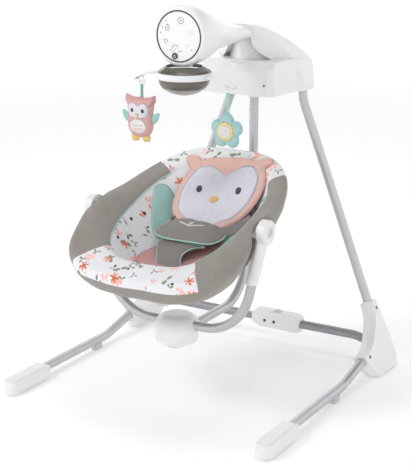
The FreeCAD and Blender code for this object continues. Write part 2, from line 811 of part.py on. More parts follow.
def ribbon(x, low_z):
    """A toy's ribbon, and the small link that hangs it on its leaf's eye."""
    y = mobile_y
    strap = box((x - 5, y - 1.2, low_z), (x + 5, y + 1.2, toy_hang_z - 6))
    bar = box((x - 9, y - 2, toy_hang_z - 8), (x + 9, y + 2, toy_hang_z - 5))
    sides = []
    for side_x in (x - 8, x + 8):
        sides.append(box((side_x - 1, y - 2, toy_hang_z - 8), (side_x + 1, y + 2, toy_hang_z + 2)))
    pin = rod(1.92, (x - 9, y, toy_hang_z), (x + 9, y, toy_hang_z))
    return strap.fuse([bar, pin] + sides)


def owl_toy():
    x = -132.0
    body = Part.makeLoft([oval_xz(mobile_y - 15, 738, 32, 44, 0.8), oval_xz(mobile_y, 738, 41, 55, 0.8),
                          oval_xz(mobile_y + 15, 738, 32, 44, 0.8)], True, False)
    body.translate(V(x, 0, 0))
    extra = []
    for s in (-1, 1):
        ear = Part.makeCone(11, 2, 20, V(x + s * 28, mobile_y, 776), V(s * 0.35, 0, 1))
        extra.append(ear)
        wing = box((x + s * 38 - 16, mobile_y - 4, 722), (x + s * 38 + 16, mobile_y + 4, 754))
        extra.append(wing)
        extra.append(box((x + s * 17 - 11, mobile_y - 7, 677), (x + s * 17 + 11, mobile_y + 7, 694)))
    extra.append(ribbon(-toy_x, 785))
    save("owl_toy", body.fuse(extra).removeSplitter())


def flower_toy():
    x = 126.0
    centre_z = 727.0
    petals = []
    for k in range(5):
        t = math.radians(90 + 72 * k)
        petals.append(disc((x + 26 * math.cos(t), mobile_y, centre_z + 26 * math.sin(t)), 21.0, 10.0))
    heart = disc((x, mobile_y, centre_z), 24.0, 13.0)
    body = heart.fuse(petals)
    body = body.fuse(ribbon(toy_x, 765))
    save("flower_toy", body.removeSplitter())


# ---------------------------------------------------------------- swing arm and swivel

def arm_path():
    straight = [(0, arm_y, swing_z + 20), (0, arm_y, arm_bend_z)]
    return straight + [(0, arm_low_y, arm_low_z), (0, yoke_y + 40, arm_low_z)]


def swing_arm():
    reach = bearing_span / 2 + 5
    shaft = rod(shaft_r, (0, arm_y - reach, swing_z), (0, arm_y + reach, swing_z))
    arm = tube(arm_path(), arm_bend_r).cut(shaft)
    save("pivot_shaft", shaft)
    collar = rod(collar_r, (0, arm_y, collar_low_z), (0, arm_y, swing_z - 30))
    square = box((-9, arm_y - collar_r - 1, collar_low_z), (-3, arm_y - collar_r + 3, collar_low_z + 6))
    collar = collar.cut(rod(tube_r, (0, arm_y, collar_low_z - 1), (0, arm_y, swing_z)))
    save("arm_collar", collar.cut(square))
    magnet = rod(10.0, (0, arm_y, swing_z + 20), (0, arm_y, swing_z + 33))
    save("arm_magnet", magnet)
    base = rod(dome_r - 4, (0, yoke_y, base_low_z), (0, yoke_y, dome_low_z - seam))
    lower = [e for e in base.Edges if e.isClosed() and abs(e.CenterOfMass.z - base_low_z) < 0.1]
    base = base.makeFillet(10.0, lower)
    pivot = rod(12.0, (0, yoke_y, dome_low_z - 2), (0, yoke_y, dome_low_z + 4))
    base = base.fuse(pivot)
    knob_room = rod(knob_r - 5.5, (0, knob_y, 0), (0, knob_y, base_low_z + 8))
    base = base.cut([swept(arm_path(), arm_bend_r, tube_r), knob_room])
    save("swing_arm_tube", arm)
    save("swivel_base", base)
    knob = rod(knob_r, (0, knob_y, knob_low_z), (0, knob_y, base_low_z - 4.6))
    stem = rod(knob_r - 6, (0, knob_y, base_low_z - 5), (0, knob_y, base_low_z + 3))
    save("swivel_knob", knob.fuse(stem))


# ---------------------------------------------------------------- yoke and recline hubs

yoke_slope = (recline_x - yoke_corner_x - 5) / (recline_z - yoke_z)


def yoke_point(z, offset=0.0):
    """A point on the yoke's right-hand leg at height z."""
    return (yoke_corner_x + yoke_slope * (z - yoke_z) + offset, yoke_y, z)


def yoke_path():
    top = yoke_point(sleeve_low_z + 62)
    corner = (yoke_corner_x, yoke_y, yoke_z)
    left = [(-x, y, z) for x, y, z in (top, corner)]
    return left + [corner, top]


def sleeve_ring(z, half_x, half_y):
    x, y, _ = yoke_point(z)
    pts = []
    for k in range(16):
        t = 2 * math.pi * k / 16
        pts.append((x + half_x * math.cos(t), y + half_y * math.sin(t), z))
    return closed_spline(pts)


def sleeve():
    """Tapered white sleeve that carries the round recline hub."""
    rings = [sleeve_ring(sleeve_low_z, sleeve_low_r, sleeve_low_r), sleeve_ring(400.0, 16.0, 18.0),
             sleeve_ring(recline_z - 20, 12.0, 26.0)]
    body = Part.makeLoft(rings, True, False)
    outer_x = recline_x + hub_t / 2
    hub = rod(recline_r, (recline_x - hub_t / 2, yoke_y, recline_z), (outer_x, yoke_y, recline_z))
    rim = [e for e in hub.Edges if e.isClosed() and abs(e.CenterOfMass.x - outer_x) < 0.1]
    hub = hub.makeFillet(6.0, rim)
    body = body.fuse(hub)
    button_bore = rod(14.3, (outer_x - 10, yoke_y, recline_z), (outer_x + 2, yoke_y, recline_z))
    face_x = recline_x - hub_t / 2
    bore_start = (face_x - 10, yoke_y, recline_z)
    spindle_bore = rod(spindle_r + running, bore_start, (outer_x - 12, yoke_y, recline_z))
    plate_room = rod(plate_r + 2 * plate_gap, (face_x - 30, yoke_y, recline_z), (face_x, yoke_y, recline_z))
    return body.cut([swept(yoke_path(), yoke_bend_r, tube_r), button_bore, spindle_bore, plate_room])


def recline_button():
    outer_x = recline_x + hub_t / 2
    return rod(14.0, (outer_x - 5.5, yoke_y, recline_z), (outer_x + 1.5, yoke_y, recline_z))


def yoke():
    save("yoke_tube", tube(yoke_path(), yoke_bend_r))
    right = sleeve()
    save("yoke_sleeves", group([right, mirrored(right)]))
    button = recline_button()
    save("recline_button_right", button)
    save("recline_button_left", mirrored(button))
    height = dome_high_z - dome_low_z
    dome = Part.makeLoft([
        Part.Wire(Part.makeCircle(dome_r, V(0, yoke_y, dome_low_z))),
        Part.Wire(Part.makeCircle(dome_r - 3, V(0, yoke_y, dome_low_z + 0.5 * height))),
        Part.Wire(Part.makeCircle(dome_r - 18, V(0, yoke_y, dome_low_z + 0.88 * height))),
        Part.Wire(Part.makeCircle(dome_r - 36, V(0, yoke_y, dome_high_z)))], True, False)
    socket = rod(12.0 + 0.1, (0, yoke_y, dome_low_z - 1), (0, yoke_y, dome_low_z + 4.5))
    save("swivel_dome", dome.cut([swept(yoke_path(), yoke_bend_r, tube_r), socket]))


# ---------------------------------------------------------------- seat

def seat_frame(shape):
    """Moves a shape built in the rim's plane (X across, Y along the slope, Z up from the plane)."""
    shape.rotate(V(0, 0, 0), V(1, 0, 0), seat_tilt)
    shape.translate(V(0, seat_y, seat_z))
    return shape


def rim_loop(level, centre, half_len, half_wid, count=32):
    """An egg-shaped loop, a little wider at the foot, with blunt ends."""
    pts = []
    for k in range(count):
        t = 2 * math.pi * k / count
        s = math.sin(t)
        x = half_wid * power(math.cos(t), 0.54) * (1 - 0.137 * s)
        y = centre + half_len * power(s, 0.80)
        pts.append((x, y, level))
    return closed_spline(pts)


def pod_outer():
    """The outside of the seat pod."""
    loops = [rim_loop(0, 0, rim_a, rim_b), rim_loop(-36, -8, rim_a - 8, rim_b - 12),
             rim_loop(-70, -12, rim_a - 30, rim_b - 36), rim_loop(-112, -8, rim_a - 82, rim_b - 72),
             rim_loop(-146, 6, rim_a - 160, rim_b - 126), rim_loop(-164, 20, rim_a - 236, rim_b - 192)]
    return Part.makeLoft(loops, True, False)


def cavity(inset):
    """The hollow that holds the child, with each wall moved in by inset."""
    i = inset
    steps = [(30, 0, 12, 10), (0, 2, 44, 46), (-22, 4, 78, 76), (-70 + i / 2, 2, 112, 108),
             (-108 + i, 2, 160, 140), (-130 + i, 12, 222, 192)]
    loops = []
    for level, centre, less_length, less_width in steps:
        loops.append(rim_loop(level, centre, rim_a - less_length - i, rim_b - less_width - i))
    return Part.makeLoft(loops, True, False)


def rectangle(x0, y0, x1, y1):
    return [(x0, y0), (x1, y0), (x1, y1), (x0, y1), (x0, y0)]


def hub_pocket(sign):
    """Room in the pod's side for a recline hub and its sleeve, over the whole recline."""
    inner_x = recline_x - hub_t / 2 - pocket_gap
    turn = math.radians(recline_max + 3)
    reach = recline_r + pocket_gap
    head = rod(reach, (inner_x, yoke_y, recline_z), (inner_x + 90, yoke_y, recline_z))
    low = 150.0
    front_y = yoke_y - 30 - low * math.tan(turn)
    back_y = yoke_y + 30
    rings = []
    for z, y0, y1 in ((recline_z - low, front_y, back_y), (recline_z, yoke_y - reach, yoke_y + reach)):
        x0 = yoke_point(z)[0] - sleeve_low_r - pocket_gap
        rings.append(Part.makePolygon([V(x, y, z) for x, y in rectangle(x0, y0, x0 + 120, y1)]))
    skirt = Part.makeLoft(rings, True, True)
    pocket = head.fuse(skirt)
    return pocket if sign > 0 else mirrored(pocket)


def seat():
    outer = seat_frame(pod_outer())
    hollow = seat_frame(cavity(0))
    pod = outer.cut([hollow, hub_pocket(1), hub_pocket(-1)])
    spindles = []
    for sign in (-1, 1):
        x0 = sign * (recline_x - hub_t / 2 - pocket_gap - 14)
        x1 = sign * (recline_x - hub_t / 2 - plate_gap)
        x2 = sign * (recline_x + hub_t / 2 - 13)
        plate = rod(plate_r, (x0, yoke_y, recline_z), (x1, yoke_y, recline_z))
        pin = rod(spindle_r, (x1, yoke_y, recline_z), (x2, yoke_y, recline_z))
        spindles.append(plate.fuse(pin))
    pod = pod.cut(spindles)
    solids = sorted(pod.Solids, key=lambda s: s.Volume)
    save("seat_pod", solids[-1])
    save("seat_hubs", group(spindles))
    liner = hollow.cut(seat_frame(cavity(liner_t)))
    zone = seat_frame(box((-300, -300, -200), (300, 300, -6)))
    liner = liner.common(zone).cut(spindles)
    save("seat_liner", sorted(liner.Solids, key=lambda s: s.Volume)[-1])
    bed = seat_frame(cavity(liner_t + 0.4)).cut(seat_frame(cavity(liner_t + support_t)))
    support_zone = seat_frame(box((-118, -70, -200), (118, rim_a - 18, -12)))
    support = sorted(bed.common(support_zone).Solids, key=lambda s: s.Volume)[-1]
    save("body_support", support)
    harness(support)


def harness(support):
    """Padded belt over the lap, its two straps and the crotch pad, all clear of the body support."""
    belt = box((-88, -7, -24), (88, 7, 24))
    belt.rotate(V(0, 0, 0), V(1, 0, 0), -52)
    belt.translate(V(0, -112, 456))
    crotch = box((-34, -6, -38), (34, 6, 42))
    crotch.rotate(V(0, 0, 0), V(1, 0, 0), -12)
    crotch.translate(V(0, -138, 398))
    above_support = seat_frame(cavity(liner_t + support_t + 0.4))
    save("crotch_pad", crotch.cut(belt).common(above_support))
    inside_liner = seat_frame(cavity(liner_t + 0.4))
    straps = []
    for sign in (-1, 1):
        strap = box((0, -1.5, -12), (130, 1.5, 12))
        strap.translate(V(89, -100, 456))
        strap = strap.common(inside_liner).cut(belt)
        straps.append(strap if sign > 0 else mirrored(strap))
    save("waist_belt", group([piece.cut(support) for piece in [belt] + straps]))


side_frame()
rear_bar()
housing()
head()
mobile_socket()
mobile()
owl_toy()
flower_toy()
swing_arm()
yoke()
seat()
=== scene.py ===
import json
import math
import bpy
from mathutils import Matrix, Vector, noise
from mathutils.bvhtree import BVHTree


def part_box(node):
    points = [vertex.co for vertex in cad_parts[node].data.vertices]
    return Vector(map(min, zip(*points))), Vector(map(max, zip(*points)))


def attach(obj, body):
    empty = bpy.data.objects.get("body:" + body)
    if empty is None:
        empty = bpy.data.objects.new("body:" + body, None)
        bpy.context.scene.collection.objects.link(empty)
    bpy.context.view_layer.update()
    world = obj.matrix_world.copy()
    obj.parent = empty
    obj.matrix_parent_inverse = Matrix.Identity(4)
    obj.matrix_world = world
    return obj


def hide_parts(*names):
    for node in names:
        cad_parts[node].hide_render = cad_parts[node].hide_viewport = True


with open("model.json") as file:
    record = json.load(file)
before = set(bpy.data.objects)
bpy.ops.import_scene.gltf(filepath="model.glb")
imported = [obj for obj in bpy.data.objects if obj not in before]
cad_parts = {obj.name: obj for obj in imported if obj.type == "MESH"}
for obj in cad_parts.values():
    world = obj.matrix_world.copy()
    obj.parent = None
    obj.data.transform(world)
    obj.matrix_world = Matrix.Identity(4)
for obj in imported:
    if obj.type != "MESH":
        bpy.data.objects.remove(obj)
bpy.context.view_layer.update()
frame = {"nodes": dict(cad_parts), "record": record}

# Baby swing, in metres.  Lengths below are in millimetres and are scaled by MM where they are used.
MM = 0.001


def node_box(name):
    """A CAD node's lowest and highest corners, in millimetres."""
    low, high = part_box(name)
    return [v / MM for v in low], [v / MM for v in high]


def joint_at(name):
    """A joint's place, in millimetres."""
    joint = [j for j in frame["record"]["behaviour"]["joints"] if j["name"] == name][0]
    return [v / MM for v in joint["pos_m"]]


# ---------------------------------------------------------------- materials

def new_material(name):
    """A material with its node tree and its Principled shader."""
    material = bpy.data.materials.new(name)
    material.use_nodes = True
    tree = material.node_tree
    return material, tree, tree.nodes["Principled BSDF"]


def add_node(tree, kind, **inputs):
    node = tree.nodes.new(kind)
    for key, value in inputs.items():
        node.inputs[key.replace("_", " ")].default_value = value
    return node


def place(tree, scale=(1, 1, 1), turn=(0, 0, 0)):
    """Object coordinates, turned and scaled."""
    source = tree.nodes.new("ShaderNodeTexCoord")
    mapping = tree.nodes.new("ShaderNodeMapping")
    mapping.inputs["Scale"].default_value = scale
    mapping.inputs["Rotation"].default_value = turn
    tree.links.new(source.outputs["Object"], mapping.inputs["Vector"])
    return mapping.outputs["Vector"]


def noise_of(tree, scale, detail=4.0, rough=0.55, at=None):
    node = add_node(tree, "ShaderNodeTexNoise", Scale=scale, Detail=detail, Roughness=rough)
    tree.links.new(at or place(tree), node.inputs["Vector"])
    return node.outputs["Fac"]


def ramp(tree, value, stops):
    node = tree.nodes.new("ShaderNodeValToRGB")
    band = node.color_ramp
    while len(band.elements) < len(stops):
        band.elements.new(0.5)
    for element, (at, colour) in zip(band.elements, stops):
        element.position = at
        element.color = (*colour, 1.0)
    tree.links.new(value, node.inputs["Fac"])
    return node.outputs["Color"]


def mixed(tree, fac, a, b, mode="MIX"):
    node = tree.nodes.new("ShaderNodeMix")
    node.data_type = "RGBA"
    node.blend_type = mode
    for socket, value in ((node.inputs[0], fac), (node.inputs[6], a), (node.inputs[7], b)):
        if isinstance(value, bpy.types.NodeSocket):
            tree.links.new(value, socket)
        elif isinstance(value, (int, float)):
            socket.default_value = value
        else:
            socket.default_value = (*value, 1.0)
    return node.outputs[2]


def maths(tree, operation, a, b=None, c=None, clamp=False):
    node = tree.nodes.new("ShaderNodeMath")
    node.operation = operation
    node.use_clamp = clamp
    for socket, value in zip(node.inputs, (a, b, c)):
        if isinstance(value, bpy.types.NodeSocket):
            tree.links.new(value, socket)
        elif value is not None:
            socket.default_value = value
    return node.outputs[0]


def feed(tree, shader, **values):
    """Sets a shader's sockets: plain numbers and colours directly, anything worked out by a link."""
    for key, value in values.items():
        socket = shader.inputs[key.replace("_", " ")]
        if isinstance(value, bpy.types.NodeSocket):
            tree.links.new(value, socket)
        else:
            socket.default_value = value


def bumped(tree, bsdf, height, strength, distance):
    """Fine relief from a height, over a distance in metres."""
    bump = add_node(tree, "ShaderNodeBump", Strength=strength, Distance=distance)
    feed(tree, bump, Height=height)
    feed(tree, bsdf, Normal=bump.outputs["Normal"])


def scaled(colour, factor):
    """A lighter or darker colour."""
    return tuple(min(1.0, c * factor) for c in colour)


def moulded(name, colour, rough=0.34, coat=0.15, grain=1600.0, strength=0.05):
    """Moulded plastic: fine spark-eroded grain, faint flow marks and scuffs that change the gloss."""
    material, tree, bsdf = new_material(name)
    tone = mixed(tree, noise_of(tree, 9.0), scaled(colour, 0.965), scaled(colour, 1.02))
    scuff = maths(tree, "MULTIPLY_ADD", noise_of(tree, 45.0, 6.0), 0.16, rough - 0.08)
    feed(tree, bsdf, Base_Color=tone, Roughness=scuff, Coat_Weight=coat, Coat_Roughness=0.25)
    bumped(tree, bsdf, noise_of(tree, grain, 2.0), strength, 0.0004)
    return material


def coated_tube(name, colour, metallic=0.55, rough=0.34):
    """Powder coat on steel: orange peel, tiny flakes and a slightly uneven tone."""
    material, tree, bsdf = new_material(name)
    flake = maths(tree, "MULTIPLY", noise_of(tree, 2600.0, 1.0), 0.22)
    cloud = noise_of(tree, 12.0)
    tone = mixed(tree, cloud, scaled(colour, 0.93), scaled(colour, 1.05))
    feed(tree, bsdf, Base_Color=mixed(tree, flake, tone, scaled(colour, 1.3)), Metallic=metallic,
         Roughness=maths(tree, "MULTIPLY_ADD", cloud, 0.14, rough - 0.06))
    bumped(tree, bsdf, noise_of(tree, 900.0, 2.0), 0.08, 0.0003)
    return material


def metal(name, colour, rough=0.3, brushed=(1, 1, 14)):
    """Bare metal with brushed or drawn lines."""
    material, tree, bsdf = new_material(name)
    lines = noise_of(tree, 160.0, 5.0, at=place(tree, brushed))
    feed(tree, bsdf, Base_Color=mixed(tree, lines, scaled(colour, 0.8), scaled(colour, 1.1)), Metallic=1.0,
         Roughness=maths(tree, "MULTIPLY_ADD", lines, 0.2, rough - 0.1))
    bumped(tree, bsdf, lines, 0.1, 0.0003)
    return material


def weave_height(tree, pitch):
    """Threads over and under: two crossed waves, broken up by noise."""
    heights = []
    for turn in ((0.3, 0, 0.5), (0.3, 0, 2.07)):
        wave = add_node(tree, "ShaderNodeTexWave", Scale=1.0 / pitch, Distortion=1.2, Detail=1.0)
        feed(tree, wave, Vector=place(tree, turn=turn))
        heights.append(wave.outputs["Fac"])
    return maths(tree, "MULTIPLY", heights[0], heights[1])


def plush(name, colour, sheen_patches=0.5, sheen=0.6, fibre_glint=0.12):
    """Short pile: clumps of fibre and a soft sheen, with painted sheen in patches of the nap and painted
    highlights on raised clumps and fibre tips.
    """
    material, tree, bsdf = new_material(name)
    fibre = noise_of(tree, 1300.0, 3.0, 0.7)
    clump = noise_of(tree, 170.0, 5.0, 0.6)
    sheen_patch_noise = noise_of(tree, 16.0, 3.0)
    # Painted sheen and highlight: patches of the nap and the raised clumps are painted lighter.
    light = maths(tree, "MULTIPLY_ADD", sheen_patch_noise, sheen_patches, maths(tree, "MULTIPLY", clump, 0.35))
    tone = ramp(tree, light, [(0.18, scaled(colour, 0.78)), (0.45, colour), (0.75, scaled(colour, 1.16))])
    # Painted glints: single fibres, which also raise the bump, are painted lighter.
    grey = mixed(tree, maths(tree, "MULTIPLY", fibre, fibre_glint), tone, scaled(colour, 1.5))
    feed(tree, bsdf, Base_Color=grey, Roughness=0.92, Sheen_Weight=sheen, Sheen_Roughness=0.4,
         Sheen_Tint=(*scaled(colour, 1.4), 1.0))
    height = maths(tree, "ADD", maths(tree, "MULTIPLY", fibre, 0.5), maths(tree, "MULTIPLY", clump, 1.4))
    bumped(tree, bsdf, height, 0.55, 0.0012)
    return material


def woven(name, colour, pitch=0.0012, rough=0.85, sheen=0.25):
    """Plain-woven cloth or tape, with painted highlights on the crests of the weave."""
    material, tree, bsdf = new_material(name)
    height = weave_height(tree, pitch)
    cloud = noise_of(tree, 26.0, 4.0)
    tone = mixed(tree, cloud, scaled(colour, 0.9), scaled(colour, 1.06))
    # Painted highlight: the raised crests of the weave are painted lighter than the tone.
    tone_with_crest_highlight = mixed(tree, maths(tree, "MULTIPLY", height, 0.25), tone, scaled(colour, 1.2))
    feed(tree, bsdf, Base_Color=tone_with_crest_highlight, Roughness=rough, Sheen_Weight=sheen)
    bumped(tree, bsdf, height, 0.3, 0.0004)
    return material


def vector_maths(tree, operation, *values):
    """A vector node: linked or plain vectors in, its result out."""
    node = tree.nodes.new("ShaderNodeVectorMath")
    node.operation = operation
    for socket, value in zip(node.inputs, values):
        if isinstance(value, bpy.types.NodeSocket):
            tree.links.new(value, socket)
        else:
            socket.default_value = value
    return node.outputs[0]


def parts_of(tree, vector):
    """A vector's X, Y and Z outputs."""
    node = tree.nodes.new("ShaderNodeSeparateXYZ")
    tree.links.new(vector, node.inputs[0])
    return node.outputs


def petal_mask(tree, at, per_metre, radius, petals, share, depth):
    """One at the flowers, leaves or dots of a scattered print, with each one's distance and random value."""
    cells = add_node(tree, "ShaderNodeTexVoronoi", Scale=per_metre, Randomness=0.75)
    feed(tree, cells, Vector=at)
    place_in = parts_of(tree, vector_maths(tree, "SUBTRACT", at, cells.outputs["Position"]))
    angle = maths(tree, "ARCTAN2", place_in["Y"], place_in["X"])
    pick = parts_of(tree, cells.outputs["Color"])
    spin = maths(tree, "MULTIPLY_ADD", pick["Y"], 6.3, maths(tree, "MULTIPLY", angle, petals))
    lobes = maths(tree, "MULTIPLY_ADD", maths(tree, "COSINE", spin), depth, 1.0 - depth)
    edge = maths(tree, "MULTIPLY", lobes, radius * per_metre)
    inside = maths(tree, "LESS_THAN", cells.outputs["Distance"], edge)
    chosen = maths(tree, "LESS_THAN", pick["X"], share)
    return maths(tree, "MULTIPLY", inside, chosen), cells.outputs["Distance"], pick["Z"]


SAGE = (0.20, 0.24, 0.15)
OLIVE = (0.17, 0.21, 0.14)
PINK = (0.80, 0.36, 0.32)
CORAL = (0.68, 0.14, 0.04)
DOT = (0.02, 0.02, 0.03)
# Per metre, radius in metres, petals, share of the places taken, depth of the petals, ink and shift.
PRINT_LAYERS = (
    (19.0, 0.018, 2, 0.80, 0.68, SAGE, (0.9, 0.2, 0.1)),
    (27.0, 0.013, 3, 0.78, 0.60, OLIVE, (-0.3, 0.7, 0.4)),
    (17.0, 0.017, 5, 0.75, 0.30, PINK, (0.1, -0.5, 0.3)),
    (20.0, 0.015, 6, 0.78, 0.34, CORAL, (0.6, 0.4, -0.2)),
    (22.0, 0.0055, 1, 0.60, 0.02, DOT, (-0.7, -0.1, 0.5)))
# The colour of a flower's heart, by its number of petals.
HEARTS = {5: (0.95, 0.85, 0.80), 6: (0.30, 0.12, 0.09)}


def floral(name, tilt):
    """White cotton with a scattered print: coral and orange flowers, pink blooms, sage sprigs and dots."""
    material, tree, bsdf = new_material(name)
    colour = mixed(tree, noise_of(tree, 30.0), (0.74, 0.74, 0.78), (0.84, 0.84, 0.86))
    wobble = add_node(tree, "ShaderNodeTexNoise", Scale=90.0)
    base = place(tree, turn=(-tilt, 0, 0))
    feed(tree, wobble, Vector=base)
    for per_metre, radius, petals, share, depth, ink, shift in PRINT_LAYERS:
        moved = vector_maths(tree, "ADD", base, shift)
        at = vector_maths(tree, "MULTIPLY_ADD", wobble.outputs["Color"], (0.006, 0.006, 0.006), moved)
        mask, distance, tint = petal_mask(tree, at, per_metre, radius, petals, share, depth)
        shade = mixed(tree, tint, ink, scaled(ink, 1.45))
        if petals in HEARTS:
            heart = maths(tree, "LESS_THAN", distance, radius * per_metre * 0.28)
            shade = mixed(tree, heart, shade, HEARTS[petals])
        colour = mixed(tree, mask, colour, shade)
    feed(tree, bsdf, Base_Color=colour, Roughness=0.86, Sheen_Weight=0.2)
    bumped(tree, bsdf, weave_height(tree, 0.0010), 0.22, 0.0003)
    return material


def see_through(name, colour, alpha, rough=0.12):
    """Thin clear or smoky moulding."""
    material, tree, bsdf = new_material(name)
    tone = mixed(tree, noise_of(tree, 30.0), scaled(colour, 0.85), scaled(colour, 1.1))
    gloss = maths(tree, "MULTIPLY_ADD", noise_of(tree, 80.0), 0.08, rough - 0.03)
    feed(tree, bsdf, Base_Color=tone, Alpha=alpha, Roughness=gloss, Coat_Weight=0.6)
    bumped(tree, bsdf, noise_of(tree, 60.0), 0.05, 0.001)
    return material


SEAT_TILT = math.radians(22.9)
white = moulded("white_shell", (0.80, 0.805, 0.82))
panel_white = moulded("panel_gloss", (0.84, 0.84, 0.84), rough=0.2, coat=0.5)
# Painted shade: a darker copy of the white shell plastic, for the knob and buttons.
shaded_white = moulded("shaded_white_plastic", (0.70, 0.71, 0.74), rough=0.4)
dark_trim = moulded("dark_gloss", (0.045, 0.043, 0.038), rough=0.22, coat=0.5)
icon_ink = moulded("icon_ink", (0.07, 0.075, 0.08), rough=0.5, coat=0.0)
glyph_ink = moulded("glyph_ink", (0.62, 0.62, 0.6), rough=0.5, coat=0.0)
rubber = moulded("grey_rubber", (0.55, 0.56, 0.57), rough=0.7, coat=0.0, grain=700.0, strength=0.2)
silver = coated_tube("silver_powder_coat", (0.50, 0.50, 0.52))
bar_grey = coated_tube("grey_powder_coat", (0.30, 0.30, 0.32), metallic=0.35, rough=0.42)
steel = metal("zinc_steel", (0.48, 0.48, 0.5))
dark_steel = metal("dark_screw", (0.12, 0.12, 0.13), rough=0.42)
copper = metal("copper_winding", (0.75, 0.40, 0.22), rough=0.35, brushed=(1, 1, 60))
board = moulded("board_green", (0.05, 0.20, 0.09), rough=0.45, grain=500.0, strength=0.2)
black = moulded("black_plastic", (0.03, 0.03, 0.03), rough=0.6)
cell = moulded("cell_jacket", (0.10, 0.11, 0.13), rough=0.3)
smoky = see_through("smoky_cone", (0.125, 0.11, 0.085), 0.90)
clear = see_through("clear_dome", (0.50, 0.48, 0.45), 0.5, 0.06)
foil = metal("crumpled_foil", (0.80, 0.78, 0.75), rough=0.2, brushed=(1, 1, 1))
grey_plush = plush("grey_plush", (0.285, 0.265, 0.242))
strap_plush = plush("strap_grey", (0.275, 0.258, 0.242), sheen_patches=0.35)
coral = plush("coral_velour", (0.84, 0.54, 0.47), sheen_patches=0.25, fibre_glint=0.08)
toy_pink = plush("toy_pink_velour", (0.72, 0.40, 0.38), sheen_patches=0.3, fibre_glint=0.08)
lilac = plush("pale_velour", (0.76, 0.74, 0.82), sheen_patches=0.25, fibre_glint=0.05)
rose = plush("rose_velour", (0.64, 0.36, 0.35), sheen_patches=0.35, fibre_glint=0.08)
beak_felt = plush("beak_felt", (0.86, 0.55, 0.20), sheen_patches=0.2, fibre_glint=0.06)
cream = plush("cream_velour", (0.88, 0.84, 0.80), sheen_patches=0.2, fibre_glint=0.05)
feet_felt = plush("feet_felt", (0.85, 0.62, 0.22), sheen_patches=0.2, fibre_glint=0.06)
mint = woven("mint_cotton", (0.33, 0.56, 0.51))
mint_cord = woven("mint_piping", (0.36, 0.62, 0.55), pitch=0.0007)
aqua = woven("aqua_cloth", (0.34, 0.55, 0.56), pitch=0.0009)
pine = woven("pine_ribbon", (0.17, 0.36, 0.31), pitch=0.0007)
yellow = woven("yellow_cloth", (0.85, 0.68, 0.25), pitch=0.0008)
eye_thread = woven("eye_thread", (0.06, 0.055, 0.075), pitch=0.0006)
cream_thread = woven("cream_thread", (0.85, 0.83, 0.76), pitch=0.0006)
print_cotton = floral("floral_cotton", SEAT_TILT)

NODE_MATERIALS = {
    white: ["housing_front_shell", "housing_rear_shell", "battery_door", "head_shell", "head_bezel",
            "arm_collar", "swivel_base", "swivel_dome", "yoke_sleeves", "fold_hinge_front", "fold_hinge_rear",
            "mobile_ring", "seat_hubs"],
    # Painted shade: the knob and buttons take the darker copy of the shell's white.
    shaded_white: ["swivel_knob", "fold_button", "recline_button_right", "recline_button_left"],
    panel_white: ["control_panel"], dark_trim: ["panel_ring", "control_button", "dc_jack"],
    silver: ["swing_arm_tube", "yoke_tube"], bar_grey: ["bar_tube_right", "bar_tube_left"],
    steel: ["shaft_bearings", "side_pivot_pins", "pivot_shaft", "arm_magnet"],
    dark_steel: ["housing_screws", "fold_pins"],
    smoky: ["mobile_socket", "globe_band"], clear: ["globe_dome"], foil: [], copper: ["drive_coil"],
    board: ["circuit_board"], black: ["speaker"], cell: ["battery_cells"]}
for side in ("_right", "_left"):
    NODE_MATERIALS[silver] += ["upright_tube" + side, "leg_tube" + side]
    NODE_MATERIALS[white] += ["hub_outer_shell" + side, "hub_inner_shell" + side, "foot_cap" + side]
    NODE_MATERIALS[dark_steel].append("hub_fasteners" + side)
NODE_MATERIALS[rubber] = ["floor_pads_right", "floor_pads_left"]
for material, names in NODE_MATERIALS.items():
    for name in names:
        slots = frame["nodes"][name].data.materials
        slots.clear()
        slots.append(material)


# ---------------------------------------------------------------- mesh helpers

def finished(name, verts, faces, materials, indices=None, smooth=True):
    """A mesh object from points in millimetres."""
    mesh = bpy.data.meshes.new(name)
    mesh.from_pydata([Vector(v) * MM for v in verts], [], faces)
    for material in materials:
        mesh.materials.append(material)
    if indices:
        mesh.polygons.foreach_set("material_index", indices)
    mesh.polygons.foreach_set("use_smooth", [smooth] * len(mesh.polygons))
    mesh.validate()
    mesh.update()
    piece = bpy.data.objects.new(name, mesh)
    bpy.context.collection.objects.link(piece)
    return piece


def applied(piece, kind, **settings):
    """Adds a modifier and keeps its result as the piece's own mesh."""
    modifier = piece.modifiers.new(kind.lower(), kind)
    for key, value in settings.items():
        setattr(modifier, key, value)
    graph = bpy.context.evaluated_depsgraph_get()
    mesh = bpy.data.meshes.new_from_object(piece.evaluated_get(graph))
    piece.modifiers.clear()
    piece.data = mesh
    mesh.polygons.foreach_set("use_smooth", [True] * len(mesh.polygons))
    return piece


def grid_faces(rows, columns, closed=True, start=0):
    """Quads between rows of points; a closed row's last point joins its first."""
    faces = []
    for r in range(rows - 1):
        for c in range(columns if closed else columns - 1):
            d = (c + 1) % columns
            faces.append((start + r * columns + c, start + r * columns + d,
                          start + (r + 1) * columns + d, start + (r + 1) * columns + c))
    return faces


def capped_faces(rows, columns):
    """Quads between closed rows of points, with a face over the first row and the last."""
    faces = grid_faces(rows, columns)
    faces.append(tuple(reversed(range(columns))))
    faces.append(tuple(range((rows - 1) * columns, rows * columns)))
    return faces


def around(count):
    """Angles evenly spaced round a full turn."""
    return [2 * math.pi * k / count for k in range(count)]


def attached(piece, body):
    """Gives a piece the body that it moves with."""
    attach(piece, body)
    return piece


def merge_close(piece):
    """Welds points that fall on each other."""
    applied(piece, "WELD", merge_threshold=0.00005)


def rounded(piece):
    """Smooths a piece with one subdivision."""
    applied(piece, "SUBSURF", levels=1, render_levels=1)


